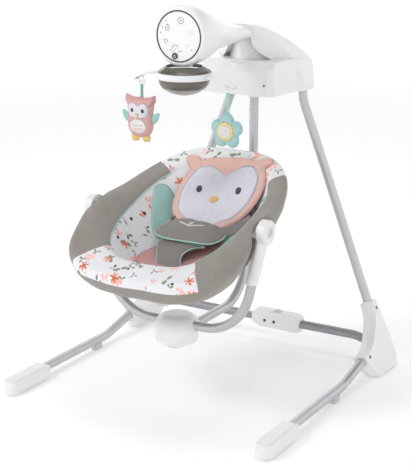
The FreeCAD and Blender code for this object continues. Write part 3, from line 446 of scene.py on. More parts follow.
def cord_mesh(name, points, radius, material, closed=False, sides=8):
    """A round cord through points, as a mesh tube with flat ends."""
    pts = [Vector(p) for p in points]
    count = len(pts)
    verts = []
    normal = None
    for i, p in enumerate(pts):
        after = pts[(i + 1) % count] if closed or i < count - 1 else p
        before = pts[i - 1] if closed or i > 0 else p
        along = (after - before).normalized()
        if normal is None:
            normal = along.orthogonal()
        normal = (normal - along * normal.dot(along)).normalized()
        other = along.cross(normal)
        verts += [p + (normal * math.cos(t) + other * math.sin(t)) * radius for t in around(sides)]
    if not closed:
        return finished(name, verts, capped_faces(count, sides), [material])
    faces = grid_faces(count, sides)
    last = (count - 1) * sides
    shift = min(range(sides), key=lambda k: (verts[last] - verts[k]).length)
    for k in range(sides):
        faces.append((last + k, last + (k + 1) % sides, (k + 1 + shift) % sides, (k + shift) % sides))
    return finished(name, verts, faces, [material])


def evenly(dense, count, steps):
    """Points a step apart along a dense run of points, whose length is divided into equal steps."""
    lengths = [0.0]
    for a, b in zip(dense, dense[1:]):
        lengths.append(lengths[-1] + (b - a).length)
    out = []
    j = 0
    for i in range(count):
        target = lengths[-1] * i / steps
        while j < len(lengths) - 2 and lengths[j + 1] < target:
            j += 1
        span = lengths[j + 1] - lengths[j]
        f = (target - lengths[j]) / span if span > 0 else 0.0
        out.append(dense[j].lerp(dense[j + 1], min(max(f, 0.0), 1.0)))
    return out


def spline_points(points, count, closed=False):
    """Evenly spaced points along a Catmull-Rom curve."""
    pts = [Vector(p) for p in points]
    n = len(pts)
    per_span = 24
    dense = []
    for i in range(n if closed else n - 1):
        if closed:
            a, b, c, d = (pts[(i + k) % n] for k in (-1, 0, 1, 2))
        else:
            a, b, c, d = pts[max(i - 1, 0)], pts[i], pts[i + 1], pts[min(i + 2, n - 1)]
        for k in range(per_span):
            t = k / per_span
            dense.append(0.5 * (2 * b + (c - a) * t + (2 * a - 5 * b + 4 * c - d) * t * t
                                + (3 * b - a - 3 * c + d) * t ** 3))
    dense.append(pts[0] if closed else pts[-1])
    return evenly(dense, count, count if closed else count - 1)


def flat_spline(outline, count, closed=True):
    """Evenly spaced points along a curve in a plane."""
    return spline_points([(x, y, 0) for x, y in outline], count, closed)


def pillow(name, outline, middle, count, rings, sides, place_of, material, joined=True):
    """Two faces, in rings from a middle to an outline; place_of(x, y, f, side) gives each point's place."""
    edge = flat_spline(outline, count)
    mx, my = middle
    verts = []
    for side in sides:
        for k in range(rings + 1):
            f = (k + 0.001) / rings
            verts += [place_of(mx + (p.x - mx) * f, my + (p.y - my) * f, f, side) for p in edge]
    per_side = (rings + 1) * count
    faces = grid_faces(rings + 1, count)
    faces += [tuple(reversed(face)) for face in grid_faces(rings + 1, count, start=per_side)]
    if joined:
        near, far = rings * count, per_side + rings * count
        for c in range(count):
            d = (c + 1) % count
            faces.append((near + c, near + d, far + d, far + c))
    faces.append(tuple(reversed(range(count))))
    faces.append(tuple(range(per_side, per_side + count)))
    piece = finished(name, verts, faces, [material])
    merge_close(piece)
    return piece


# ---------------------------------------------------------------- seat shapes

RIM_HALF_LENGTH = 297.0
RIM_HALF_WIDTH = 253.0
SEAT_Y = -111.5
SEAT_Z = 496.0
COLUMNS = 168
HUB_ROOM = 39.0
HUB_S = -52.0
HUB_INNER_X = 240.0
SOFT_EDGE = 6.0
hinge = joint_at("recline")


def seat_point(x, s, level):
    """From the rim's plane (across, up the slope, above the plane) to the swing's frame."""
    share = s / RIM_HALF_LENGTH
    level += 24.7 * share ** 3 - 3.4 * share ** 2 - 19.3 * share
    y = SEAT_Y + s * math.cos(SEAT_TILT) - level * math.sin(SEAT_TILT)
    z = SEAT_Z + s * math.sin(SEAT_TILT) + level * math.cos(SEAT_TILT)
    return Vector((x, y, z))


def signed_power(value, exponent):
    """A power that keeps the value's sign."""
    return math.copysign(abs(value) ** exponent, value)


def rim_loop(centre, less_length, less_width, egg=-0.137):
    """The egg-shaped outline in the rim's plane, evenly spaced from the middle of the foot."""
    dense = []
    for t in around(720):
        s = math.sin(t - math.pi / 2)
        across = signed_power(math.cos(t - math.pi / 2), 0.54) * (1 + egg * s)
        along = centre + (RIM_HALF_LENGTH - less_length) * signed_power(s, 0.80)
        dense.append(Vector(((RIM_HALF_WIDTH - less_width) * across, along)))
    dense.append(dense[0])
    out = evenly(dense, COLUMNS, COLUMNS)
    smooth = []
    for i in range(COLUMNS):
        window = [out[(i + k) % COLUMNS] for k in range(-3, 4)]
        smooth.append(sum(window, Vector((0, 0))) / len(window))
    return smooth


def share_of(value, first, span):
    """How far a value has gone from first along span, from 0 to 1."""
    return min(max((value - first) / span, 0.0), 1.0)


def hub_swell(x, s):
    """How much the padded rim stands up in front of the recline hubs."""
    near = math.exp(-((s - HUB_S) / 88.0) ** 2)
    return 25.0 * near * share_of(abs(x), 165.0, 55.0) ** 1.5


def pocket_limit(y, z):
    """How far out the pod may reach beside a recline hub and its sleeve."""
    if z > hinge[2]:
        away = math.hypot(y - hinge[1], z - hinge[2]) - HUB_ROOM
        return HUB_INNER_X + max(away, 0.0) * 1.5
    below = min((hinge[2] - z) / 150.0, 1.3)
    front = hinge[1] - HUB_ROOM - 28.0 * below
    back = hinge[1] + HUB_ROOM - 6.0 * below
    sleeve_x = 189.5 + 0.234 * (z - 206.0) - 23.0
    return min(sleeve_x, HUB_INNER_X) + max(front - y, y - back, 0.0) * 1.5


def pocketed(point):
    """Draws a point in where it would meet a hub or a sleeve."""
    limit = pocket_limit(point.y, point.z)
    past = abs(point.x) - limit
    if past > -SOFT_EDGE:
        soft = limit - 3.0 * math.exp(-max(past + SOFT_EDGE, 0.0) / SOFT_EDGE)
        point.x = math.copysign(min(abs(point.x), soft), point.x)
    return point


# Rows of the pod's cover and of its lining: level over the rim's plane, then rim_loop's values.
OUTSIDE = [(-164, 20, 250, 206), (-160, 18, 222, 180), (-148, 8, 170, 136), (-130, 0, 126, 104),
           (-110, -7, 86, 76), (-90, -10, 56, 54), (-70, -11, 33, 37), (-52, -10, 18, 24), (-36, -8, 8, 12),
           (-22, -5, 3, 5), (-10, -2, 0, 1)]
ROLL = [(0, 0, 1, 1), (7, 0, 5, 5), (10, 0, 11, 11), (10, 0, 17, 17)]
BAND = [(9, 1, 24, 25, -0.12), (8, 3, 34, 36, -0.10), (6, 5, 45, 47, -0.06), (3, 7, 55, 57, -0.03),
        (-1, 9, 64, 66, 0.01), (-6, 10, 70, 72, 0.04), (-12, 10, 74, 76, 0.06)]
TUCK = [(-22, 10, 78, 80, 0.06), (-40, 8, 90, 90, 0.04)]
BED = [(-12, 10, 74, 76, 0.06), (-18, 10, 79, 80, 0.06), (-34, 8, 90, 90, 0.04), (-52, 5, 104, 102, 0.02),
       (-70, 2, 124, 118, 0.0), (-86, 1, 148, 136, -0.03), (-100, 3, 178, 160, -0.06),
       (-112, 7, 212, 186, -0.08), (-118, 10, 246, 214, -0.1), (-119, 11, 270, 236, -0.1)]
ROLL_FIRST = len(OUTSIDE)
BAND_FIRST = ROLL_FIRST + len(ROLL)


def head_or_foot(point):
    """Says whether a point of the rim's plane lies in the head's or the foot's part of the rim."""
    angle = math.degrees(math.atan2(point.y, point.x)) % 360
    if 48 < angle < 132:
        return "head"
    if 233 < angle < 304:
        return "foot"
    return "side"


def creased(point, normal_push, amount):
    """Small folds of the cover, a little deeper along the length than across it."""
    p = Vector((point.x * 0.018, point.y * 0.010, point.z * 0.014))
    fold = noise.noise(p) + 0.5 * noise.noise(p * 2.3)
    return point + normal_push * fold * amount


def seat_rows(profile):
    """Each row of a profile as a list of its level and its points of the rim's plane."""
    return [[(level, p) for p in rim_loop(*loop)] for level, *loop in profile]


def pod_cover():
    """The grey plush cover: underside, rolled rim and the wide side bands, with flowered head and foot."""
    rows = seat_rows(OUTSIDE + ROLL + BAND + TUCK)
    verts = []
    for r, row in enumerate(rows):
        lift = 0.3 if r > ROLL_FIRST + 1 else -0.4
        folds = 3.2 if r < ROLL_FIRST else 2.4
        for level, p in row:
            outward = Vector((p.x, p.y * 0.8)).normalized()
            push = Vector((outward.x, outward.y * math.cos(SEAT_TILT), lift))
            if r >= ROLL_FIRST - 3:
                level += hub_swell(p.x, p.y)
            point = creased(seat_point(p.x, p.y, level), push, folds)
            verts.append(pocketed(point) if r < BAND_FIRST else point)
    faces = grid_faces(len(rows), COLUMNS)
    zones = [head_or_foot(p) for _, p in rows[ROLL_FIRST]]
    indices = []
    for r in range(len(rows) - 1):
        indices += [1 if zone != "side" and r >= ROLL_FIRST - 1 else 0 for zone in zones]
    faces.append(tuple(reversed(range(COLUMNS))))
    indices.append(0)
    piece = finished("pod_cover", verts, faces, [grey_plush, print_cotton], indices)
    rounded(piece)
    attached(piece, "seat")
    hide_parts("seat_pod")
    return rows, surface_of(piece)


def lining():
    """The flowered lining of the hollow, slack enough to show soft folds."""
    rows = seat_rows(BED)
    verts = []
    for r, row in enumerate(rows):
        for level, p in row:
            rise = 2.2 * noise.noise(Vector((p.x * 0.02, p.y * 0.03, 3.0)))
            rise += 1.0 * noise.noise(Vector((p.x * 0.06, p.y * 0.07, 9.0)))
            verts.append(seat_point(p.x, p.y, level + (rise if r else 0.0)))
    faces = grid_faces(len(rows), COLUMNS)
    faces.append(tuple(range((len(rows) - 1) * COLUMNS, len(rows) * COLUMNS)))
    piece = finished("seat_lining", verts, faces, [print_cotton])
    rounded(piece)
    attached(piece, "seat")
    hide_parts("seat_liner")
    return surface_of(piece)


def surface_of(piece):
    """A piece's mesh, for finding where it lies."""
    points = [v.co.copy() for v in piece.data.vertices]
    return BVHTree.FromPolygons(points, [tuple(f.vertices) for f in piece.data.polygons])


cover_rows, cover_surface = pod_cover()
lining_surface = lining()
LOOK_FROM = 160.0
seat_normal = Vector((0, -math.sin(SEAT_TILT), math.cos(SEAT_TILT)))


def surface_level(surface, x, s, default=-60.0):
    """How high a surface of the seat lies over a point of the rim's plane."""
    start = seat_point(x, s, LOOK_FROM) * MM
    hit = surface.ray_cast(start, -seat_normal, 0.5)
    return default if hit[0] is None else LOOK_FROM - hit[3] / MM


def over(surface, lift):
    """Gives the height that lies lift above a surface, as a function of a point of the rim's plane."""
    return lambda x, s: surface_level(surface, x, s) + lift


def seat_quilt(name, outline, middle, thick, material, surfaces, lift=0.8, rings=12, crown=2.6, fold=0.0,
               count=96, floor_at=None):
    """A padded shape that lies on what is under it: a crowned top, a sewn edge and a flat back."""
    base = {}

    def bed(x, s):
        key = (round(x, 3), round(s, 3))
        if key not in base:
            found = max(surface_level(surface, x, s, -90.0) for surface in surfaces)
            base[key] = max(found, floor_at(x, s)) if floor_at else found
        return base[key]

    def place_of(x, s, f, top):
        rise = 0.0
        if top:
            rise = thick * max(1 - f ** crown, 0.0) ** 0.5
            rise += fold * (1 - f ** 4) * noise.noise(Vector((x * 0.05, s * 0.016, len(name))))
        return seat_point(x, s, bed(x, s) + lift + rise)

    piece = attached(pillow(name, outline, middle, count, rings, (1, 0), place_of, material), "seat")
    return piece, surface_of(piece)


def seat_cord(name, points, level_at, radius, material, sides=8):
    """A closed cord on the seat through points of the rim's plane; level_at(x, s) gives its height."""
    path = [seat_point(p.x, p.y, level_at(p.x, p.y)) for p in points]
    return attached(cord_mesh(name, path, radius, material, True, sides), "seat")


def band_piping():
    """Mint piping between each grey side band and the lining, and round the hub's cut-out."""
    row = cover_rows[BAND_FIRST + len(BAND) - 1]
    crest = cover_rows[ROLL_FIRST]
    reach = HUB_ROOM + 8.0
    for sign, side in ((1, "right"), (-1, "left")):
        path = []
        for (_, top), (level, p) in zip(crest, row):
            if head_or_foot(top) == "side" and top.x * sign > 0:
                path.append(seat_point(p.x, p.y, level + 1.5))
        attached(cord_mesh("band_piping_" + side, path, 1.9, mint_cord), "seat")
        arc = []
        for k in range(40):
            t = math.radians(-200 + 150 * k / 39)
            y = hinge[1] + reach * math.cos(t)
            z = hinge[2] - 12.0 + reach * math.sin(t)
            hit = cover_surface.ray_cast(Vector((sign * 400, y, z)) * MM, Vector((-sign, 0, 0)), 0.3)
            if hit[0] is not None:
                arc.append((hit[0].x / MM + sign * 0.6, y, z))
        attached(cord_mesh("hub_cutout_piping_" + side, arc, 1.6, mint_cord), "seat")


band_piping()


# ---------------------------------------------------------------- owl body support

def oval(cx, cy, rx, ry, count=16, tilt=0.0):
    """An ellipse about a middle, turned by tilt."""
    pts = []
    for t in around(count):
        x, y = rx * math.cos(t), ry * math.sin(t)
        pts.append((cx + x * math.cos(tilt) - y * math.sin(tilt),
                    cy + x * math.sin(tilt) + y * math.cos(tilt)))
    return pts


def both_sides(right):
    """An outline from its right half, listed from the bottom to the top."""
    return right + [(-x, y) for x, y in reversed(right)]


def twisted(points):
    """The owl lies a little askew: its head is turned and its tail is not."""
    out = []
    for x, y in points:
        share = share_of(y, -20.0, 170.0)
        turn = math.radians(5.0) * share * share * (3 - 2 * share)
        dx, dy = x, y - 40.0
        out.append((8 + 14 * share + dx * math.cos(turn) - dy * math.sin(turn),
                    58 + 12 * share + dx * math.sin(turn) + dy * math.cos(turn)))
    return out


def body_support():
    """The owl: a body pad, two wings, and a stiff head with its face, eyes and beak."""
    body_outline = [(-84, -10), (-98, -60), (-102, -110), (-82, -150), (-30, -166), (30, -162), (82, -142),
                    (118, -92), (130, -30), (126, 30), (96, 62), (0, 66), (-76, 44)]
    body, body_surface = seat_quilt("owl_body_pad", body_outline, (10, -60), 12.0, rose, [lining_surface],
                                    fold=2.5)
    left_wing = [(-60, 76), (-100, 118), (-148, 148), (-168, 116), (-150, 52), (-122, -2), (-92, -14),
                 (-64, 16)]
    right_wing = [(84, 54), (108, 74), (128, 68), (132, 34), (116, -12), (96, -18), (82, 16)]
    for side, outline, middle in (("left", left_wing, (-108, 62)), ("right", right_wing, (106, 32))):
        piece, _ = seat_quilt("owl_wing_" + side, outline, middle, 8.0, mint, [lining_surface, body_surface],
                              fold=2.0)
    head_outline = twisted(both_sides([
        (30, -46), (44, -8), (74, 16), (106, 46), (124, 90), (128, 134), (122, 172), (114, 192), (132, 208),
        (128, 224), (106, 227), (86, 218), (44, 226)]))
    middle = twisted([(0, 116)])[0]
    under_head = [lining_surface, body_surface, cover_surface]
    head, head_surface = seat_quilt("owl_head_pad", head_outline, middle, 15.0, coral, under_head, lift=2.0,
                                    rings=18, crown=3.4, fold=2.0, count=150, floor_at=head_level)
    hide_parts("body_support")
    face_outline = both_sides([
        (28, -46), (38, 0), (52, 24), (84, 44), (103, 82), (108, 128), (100, 170), (78, 196), (48, 200),
        (20, 186)])
    face_outline.insert(len(face_outline) // 2, (0, 174))
    face_outline = twisted(face_outline)
    _, face_surface = seat_quilt("owl_face", face_outline, twisted([(0, 100)])[0], 2.2, lilac, [head_surface],
                                 lift=0.3, rings=18, crown=8.0, fold=2.6, count=150)
    stitches = flat_spline(face_outline, 190)
    seat_cord("owl_face_stitch", stitches, over(head_surface, 0.7), 1.0, lilac, sides=6)
    for side, x in (("left", -58), ("right", 60)):
        at = twisted([(x, 122)])[0]
        seat_quilt("owl_eye_" + side, oval(*at, 8.5, 12.0, tilt=0.3), at, 1.6, eye_thread, [face_surface],
                   lift=0.2, rings=5, count=40)
    at = twisted([(0, 92)])[0]
    seat_quilt("owl_beak", oval(*at, 12.5, 12.0), at, 3.4, beak_felt, [face_surface], lift=0.2, rings=6,
               count=44)
    mx, my = middle
    seam = [(mx + 0.985 * (x - mx), my + 0.985 * (y - my)) for x, y in head_outline]
    seat_cord("owl_head_seam", flat_spline(seam, 170), over(head_surface, -0.4), 1.1, coral)


def head_level(x, s):
    """The owl's head is stiff, so it bridges the hollow and rests on the back of the seat."""
    climb = max(s - 10.0, 0.0) / 240.0
    return -74.0 + 62.0 * climb ** 1.3 + 0.0008 * x * x


body_support()


# ---------------------------------------------------------------- harness

def strap_pad(name, outline, middle, level_at, thick, piping_r, piping_name):
    """A pad that hangs between its straps, piped round its edge; level_at gives its height."""
    def place_of(x, s, f, side):
        rise = side * 0.5 * thick * max(1 - f ** 2.6, 0.0) ** 0.5
        rise += side * 0.8
        rise += 1.5 * noise.noise(Vector((x * 0.04, s * 0.04, len(name))))
        return seat_point(x, s, level_at(x, s) + rise)

    pad = pillow(name, outline, middle, 110, 10, (1, -1), place_of, strap_plush)
    seat_cord(piping_name, flat_spline(outline, 130), level_at, piping_r, mint_cord)
    return attached(pad, "seat")


def belt_level(x, s):
    """The belt pad arches over the lap."""
    return -46.0 - 0.0018 * x * x - 0.003 * (s + 10.0) ** 2


def crotch_level(x, s):
    """The crotch panel climbs from the seat to the belt."""
    share = share_of(s, -150.0, 110.0)
    return -86.0 + 26.0 * share * share - 0.003 * x * x


def flat_tape(name, path, rim_of, material, body):
    """A tape through points: rim_of(points, i) gives its six corners at each one."""
    verts = []
    for i in range(len(path)):
        verts += rim_of(path, i)
    piece = finished(name, verts, capped_faces(len(path), 6), [material])
    rounded(piece)
    return attached(piece, body)


# Each waist strap's run: across, up the slope and level.
STRAP_RUNS = {"right": [(84, 2, -54), (108, 26, -58), (130, 52, -54), (150, 78, -46)],
              "left": [(-76, 26, -60), (-74, 46, -68), (-70, 62, -76), (-66, 74, -82)]}
STRAP_WIDTH, STRAP_THICK = 27.0, 3.0
STRAP_ACROSS = Vector((0, 0.6, 1.0)).normalized()


def strap_corners(path, i):
    """The strap's corners at a point, with its two edges thinner than its middle."""
    along = (path[min(i + 1, len(path) - 1)] - path[max(i - 1, 0)]).normalized()
    wide = (STRAP_ACROSS - along * STRAP_ACROSS.dot(along)).normalized()
    up = along.cross(wide)
    corners = []
    for a, b in ((-1, -1), (0, -1), (1, -1), (1, 1), (0, 1), (-1, 1)):
        squeeze = 0.4 if a else 1.0
        corners.append(path[i] + wide * a * STRAP_WIDTH / 2 + up * b * STRAP_THICK / 2 * squeeze)
    return corners


def harness():
    """The waist belt's pad, the crotch panel, the two straps and the embroidery."""
    belt = [(-96, -22), (-90, 18), (-62, 46), (-22, 50), (2, 39), (28, 43), (74, 36), (100, 8), (98, -20),
            (74, -46), (5, -57), (-58, -50)]
    pad = strap_pad("belt_pad", belt, (0, -4), belt_level, 9.0, 2.3, "belt_piping")
    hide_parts("waist_belt")
    crotch = [(-76, -40), (-20, -46), (30, -48), (66, -42), (42, -54), (24, -74), (20, -94), (30, -118),
              (40, -136), (8, -144), (-26, -142), (-56, -94)]
    pad = strap_pad("crotch_panel", crotch, (-10, -88), crotch_level, 8.0, 2.1, "crotch_piping")
    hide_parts("crotch_pad")
    for side, run in STRAP_RUNS.items():
        path = spline_points([seat_point(x, s, level) for x, s, level in run], 36)
        flat_tape("waist_strap_" + side, path, strap_corners, strap_plush, "seat")
    sprig()


def sprig():
    """Cream embroidery on the belt pad: three stems with small leaves."""
    for i, (lean, size) in enumerate(((-0.9, 30.0), (0.1, 25.0), (1.0, 32.0))):
        stem = []
        for k in range(9):
            f = k / 8
            x = size * f * math.sin(lean) * (1 + 0.3 * f)
            s = -6 + size * 0.8 * f * math.cos(lean)
            stem.append(seat_point(x, s, belt_level(x, s) + 5.9))
        attached(cord_mesh("sprig_stem_%d" % (i + 1), stem, 0.8, cream_thread, sides=6), "seat")
        for k in (2, 4, 6, 8):
            for turn, letter in ((-1, "a"), (1, "b")):
                tip = stem[k] + Vector((turn * 6.0, 2.5, 1.0))
                bend = stem[k].lerp(tip, 0.5) + Vector((0, 1.2, 0.5))
                leaf_mesh = cord_mesh("sprig_leaf_%d_%d_%s" % (i + 1, k, letter), [stem[k], bend, tip], 1.0,
                                      cream_thread, sides=6)
                attached(leaf_mesh, "seat")


harness()


# ---------------------------------------------------------------- hanging toys

mobile_y = joint_at("mobile_spin")[1]
hang_z = joint_at("owl_hang")[2]


def toy_pillow(name, outline, middle, thick, material, body, rings=10, count=90, crown=2.4):
    """A small stuffed shape in an upright plane, crowned to the front and the back."""
    def place_of(x, z, f, side):
        puff = 0.5 * thick * max(1 - f ** crown, 0.0) ** 0.5
        puff *= 1 + 0.10 * noise.noise(Vector((x * 0.07, z * 0.07, side * 3.0)))
        return x, mobile_y + side * (puff + 0.3), z

    piece = attached(pillow(name, outline, middle, count, rings, (-1, 1), place_of, material), body)
    return piece


def applique(name, outline, middle, front, material, body, thick=1.2, bulge=0.0, count=60):
    """A thin sewn-on shape on a toy's front."""
    def place_of(x, z, f, side):
        return x, front(x, z) - side * thick * (1 - f ** 6) - bulge * (1 - f * f), z

    piece = pillow(name, outline, middle, count, 6, (1, 0), place_of, material, joined=False)
    return attached(piece, body)


def front_of(piece):
    """Where a toy's front lies over a point of its plane."""
    surface = surface_of(piece)
    eye_y = mobile_y - 80

    def at(x, z):
        hit = surface.ray_cast(Vector((x, eye_y, z)) * MM, Vector((0, 1, 0)), 0.2)
        return eye_y + hit[3] / MM - 0.2 if hit[0] is not None else mobile_y - 2.0

    return at


def ribbon_corners(path, i):
    """A doubled ribbon's corners at a point: a little narrower half way up."""
    half = 5.0 - 0.5 * math.sin(math.pi * i / (len(path) - 1))
    corners = ((-half, -0.9), (0, -1.25), (half, -0.9), (half, 0.9), (0, 1.25), (-half, 0.9))
    return [(path[i].x + dx, path[i].y + dy, path[i].z) for dx, dy in corners]


def toy_ribbon(name, x, low_z, material, body):
    """A doubled ribbon that runs up from the toy, through the wire link on the leaf's eye."""
    wave = [(low_z - 4, 0.0), (low_z + 6, 0.4), ((low_z + hang_z) / 2, -0.5), (hang_z - 12, 0.3),
            (hang_z - 6, 0.0)]
    path = spline_points([(x, mobile_y + y, z) for z, y in wave], 24)
    flat_tape(name, path, ribbon_corners, material, body)
    corners = [(-8, 0), (-8, -3.2), (-6.8, -5.6), (0, -6.2), (6.8, -5.6), (8, -3.2), (8, 0), (6.8, 0.6),
               (-6.8, 0.6)]
    loop = spline_points([(x + dx, mobile_y, hang_z + dz) for dx, dz in corners], 60, closed=True)
    attached(cord_mesh(name + "_link", loop, 1.3, white, closed=True), body)


def owl_toy():
    """The hanging owl: a stuffed body, face, belly, eyes, beak, two wings and two feet."""
    middle_x = -132.0

    def outline(points, at_x=middle_x, sign=1):
        return [(at_x + sign * a, z) for a, z in points]

    right_half = [(22, 688), (35, 703), (38, 728), (37, 750), (40, 770), (36, 781), (46, 785), (44, 798),
                  (31, 793), (14, 790)]
    shape = outline([(0, 684)] + right_half + [(0, 791)] + [(-a, z) for a, z in reversed(right_half)])
    body = toy_pillow("owl_toy_body", shape, (middle_x, 736), 34.0, toy_pink, "owl_toy",
                      crown=3.0)
    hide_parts("owl_toy")
    front = front_of(body)
    shape = outline([(0, 770), (16, 778), (30, 772), (33, 756), (27, 742), (0, 736), (-27, 742), (-33, 756),
                     (-30, 772), (-16, 778)])
    face = applique("owl_toy_face", shape, (middle_x, 757), front, lilac, "owl_toy")
    belly = applique("owl_toy_belly", oval(middle_x, 715, 26, 21), (middle_x, 715), front, cream, "owl_toy")
    over_face = front_of(face)
    wing = [(32, 744), (42, 748), (52, 754), (58, 750), (55, 738), (47, 727), (36, 722), (31, 730)]
    foot = [(-10, 690), (-12, 680), (-7, 673), (-3, 677), (0, 672), (4, 677), (8, 673), (12, 680), (10, 690)]
    for sign, side in ((-1, "left"), (1, "right")):
        eye_x, foot_x = middle_x + sign * 16, middle_x + sign * 17
        applique("owl_toy_eye_" + side, oval(eye_x, 757, 4.6, 5.4), (eye_x, 757), over_face, eye_thread,
                 "owl_toy", 0.9, 0.8, 30)
        toy_pillow("owl_toy_wing_" + side, outline(wing, sign=sign), (middle_x + sign * 44, 738), 8.0, mint,
                   "owl_toy")
        toy_pillow("owl_toy_foot_" + side, outline(foot, foot_x), (foot_x, 682), 10.0, feet_felt, "owl_toy")
    applique("owl_toy_beak", outline([(-5, 747), (0, 750), (5, 747), (0, 737)]), (middle_x, 745), over_face,
             beak_felt, "owl_toy", 1.6, 1.2, 30)
    over_belly = front_of(belly)
    for k in range(3):
        wave = outline([(2 * i - 15, 718 - 9 * k + 1.6 * math.sin(i * 1.25)) for i in range(16)])
        path = [(x, over_belly(x, z) - 0.2, z) for x, z in wave]
        attached(cord_mesh("owl_toy_stitch_%d" % (k + 1), path, 0.5, rose, sides=6), "owl_toy")
    toy_ribbon("owl_ribbon", -128.0, 781.0, pine, "owl_toy")


def lobed(middle, count, radius_at):
    """An outline round a middle, whose radius depends on the angle."""
    mx, my = middle
    return [(mx + radius_at(t) * math.cos(t), my + radius_at(t) * math.sin(t)) for t in around(count)]


def flower_toy():
    """The hanging flower: five stuffed petals, a scalloped ring, a centre and its stitches."""
    middle = (126.0, 727.0)

    def petals(t):
        return 33.0 + 14.0 * abs(math.cos(5 * (t - math.pi / 2) / 2)) ** 0.8

    def scallops(t):
        return 23.5 + 1.8 * abs(math.sin(6 * t))

    body = toy_pillow("flower_toy_petals", lobed(middle, 60, petals), middle, 20.0, aqua, "flower_toy",
                      rings=14, count=150, crown=4.0)
    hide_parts("flower_toy")
    ring = applique("flower_toy_ring", lobed(middle, 48, scallops), middle, front_of(body), yellow,
                    "flower_toy", 1.4, 1.0, 144)
    centre = applique("flower_toy_centre", oval(*middle, 18, 18, 24), middle, front_of(ring), cream,
                      "flower_toy", 1.4, 1.6, 72)
    over_centre = front_of(centre)
    for k in range(14):
        r, t = 3.2 * math.sqrt(k + 0.6), k * 2.4
        x, z = middle[0] + r * math.cos(t), middle[1] + r * math.sin(t)
        dash = [(x + half, over_centre(x + half, z) - 0.1, z) for half in (-1.2, 1.2)]
        attached(cord_mesh("flower_toy_dash_%02d" % (k + 1), dash, 0.6, pine, sides=6), "flower_toy")
    toy_ribbon("flower_ribbon", 128.0, 768.0, mint, "flower_toy")


owl_toy()
flower_toy()


# ---------------------------------------------------------------- mobile's reflector

def reflector():
    """Crumpled foil inside the clear dome."""
    low, high = node_box("reflector")
    verts = []
    rings, count = 12, 60
    for k in range(rings + 1):
        f = k / rings
        z = low[2] + (high[2] - low[2]) * f
        for c, t in enumerate(around(count)):
            jitter = noise.noise(Vector((math.cos(t) * 4, math.sin(t) * 4, f * 9)))
            r = 26.0 + 24.0 * f ** 0.6 + 2.4 * jitter + 1.5 * noise.noise(Vector((c * 0.9, k * 1.7, 1)))
            verts.append((r * math.cos(t), mobile_y + r * math.sin(t), z))
    piece = finished("foil_reflector", verts, capped_faces(rings + 1, count), [foil], smooth=False)
    attached(piece, "mobile")
    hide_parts("reflector")


def round_shell(name, node, profile, material, body):
    """A turned shell about the mobile's axis: profile pairs of (radius, height), out and back in."""
    count = 72
    verts = []
    for r, z in profile:
        verts += [(r * math.cos(t), mobile_y + r * math.sin(t), z) for t in around(count)]
    faces = grid_faces(len(profile), count)
    last = (len(profile) - 1) * count
    for c in range(count):
        d = (c + 1) % count
        faces.append((last + c, last + d, d, c))
    piece = attached(finished(name, verts, faces, [material]), body)
    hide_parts(node)


def leaf(sign, side, root_z):
    """A drooping leaf, cupped along its middle, with a dark strip near its tip as painted shade of a small
    slot.
    """
    steps, across = 26, 12
    verts = []
    for face in (1, -1):
        for i in range(steps + 1):
            f = i / steps
            x = 62.0 + 88.0 * f
            droop = root_z + 5.0 * math.sin(f * 2.2) - 25.0 * f ** 2.0
            if f < 0.6:
                half = 15.0 + 7.0 * math.sin(math.pi * f * 1.05)
            else:
                half = 21.6 * (1 - ((f - 0.6) / 0.4) ** 2.4) ** 0.5
            for k in range(across + 1):
                g = 2 * k / across - 1
                z = droop - 5.0 * g * g + face * 1.8 * (1 - g ** 4) ** 0.5 * (1 - 0.4 * f)
                verts.append((sign * x, mobile_y + g * max(half, 0.6), z))
    per_face = (steps + 1) * (across + 1)
    faces = grid_faces(steps + 1, across + 1, closed=False)
    faces += [tuple(reversed(f)) for f in grid_faces(steps + 1, across + 1, closed=False, start=per_face)]
    edge = [i * (across + 1) for i in range(steps + 1)]
    edge += [steps * (across + 1) + k for k in range(1, across + 1)]
    edge += [i * (across + 1) + across for i in range(steps - 1, -1, -1)]
    edge += [k for k in range(across - 1, 0, -1)]
    for a, b in zip(edge, edge[1:] + edge[:1]):
        faces.append((b, a, a + per_face, b + per_face))
    piece = finished("mobile_leaf_" + side, verts, faces, [white])
    merge_close(piece)
    attached(piece, "mobile")
    x = sign * abs(joint_at("owl_hang")[0])
    eye = [(6, -4), (7, -2), (7, 6), (5, 13), (-5, 13), (-7, 6), (-7, -2), (-6, -4)]
    loop = spline_points([(x + a * 0.9, mobile_y, hang_z + b) for a, b in eye], 60, closed=True)
    attached(cord_mesh("mobile_eye_" + side, loop, 1.7, white, closed=True), "mobile")
    # Painted shade: a dark cord stands where the slot's opening shows only shade.
    slot_shadow = [(sign * 133, mobile_y - 10, root_z - 18.9), (sign * 137, mobile_y - 10, root_z - 20.9)]
    attached(cord_mesh("mobile_slot_shadow_" + side, slot_shadow, 1.4, dark_trim), "mobile")


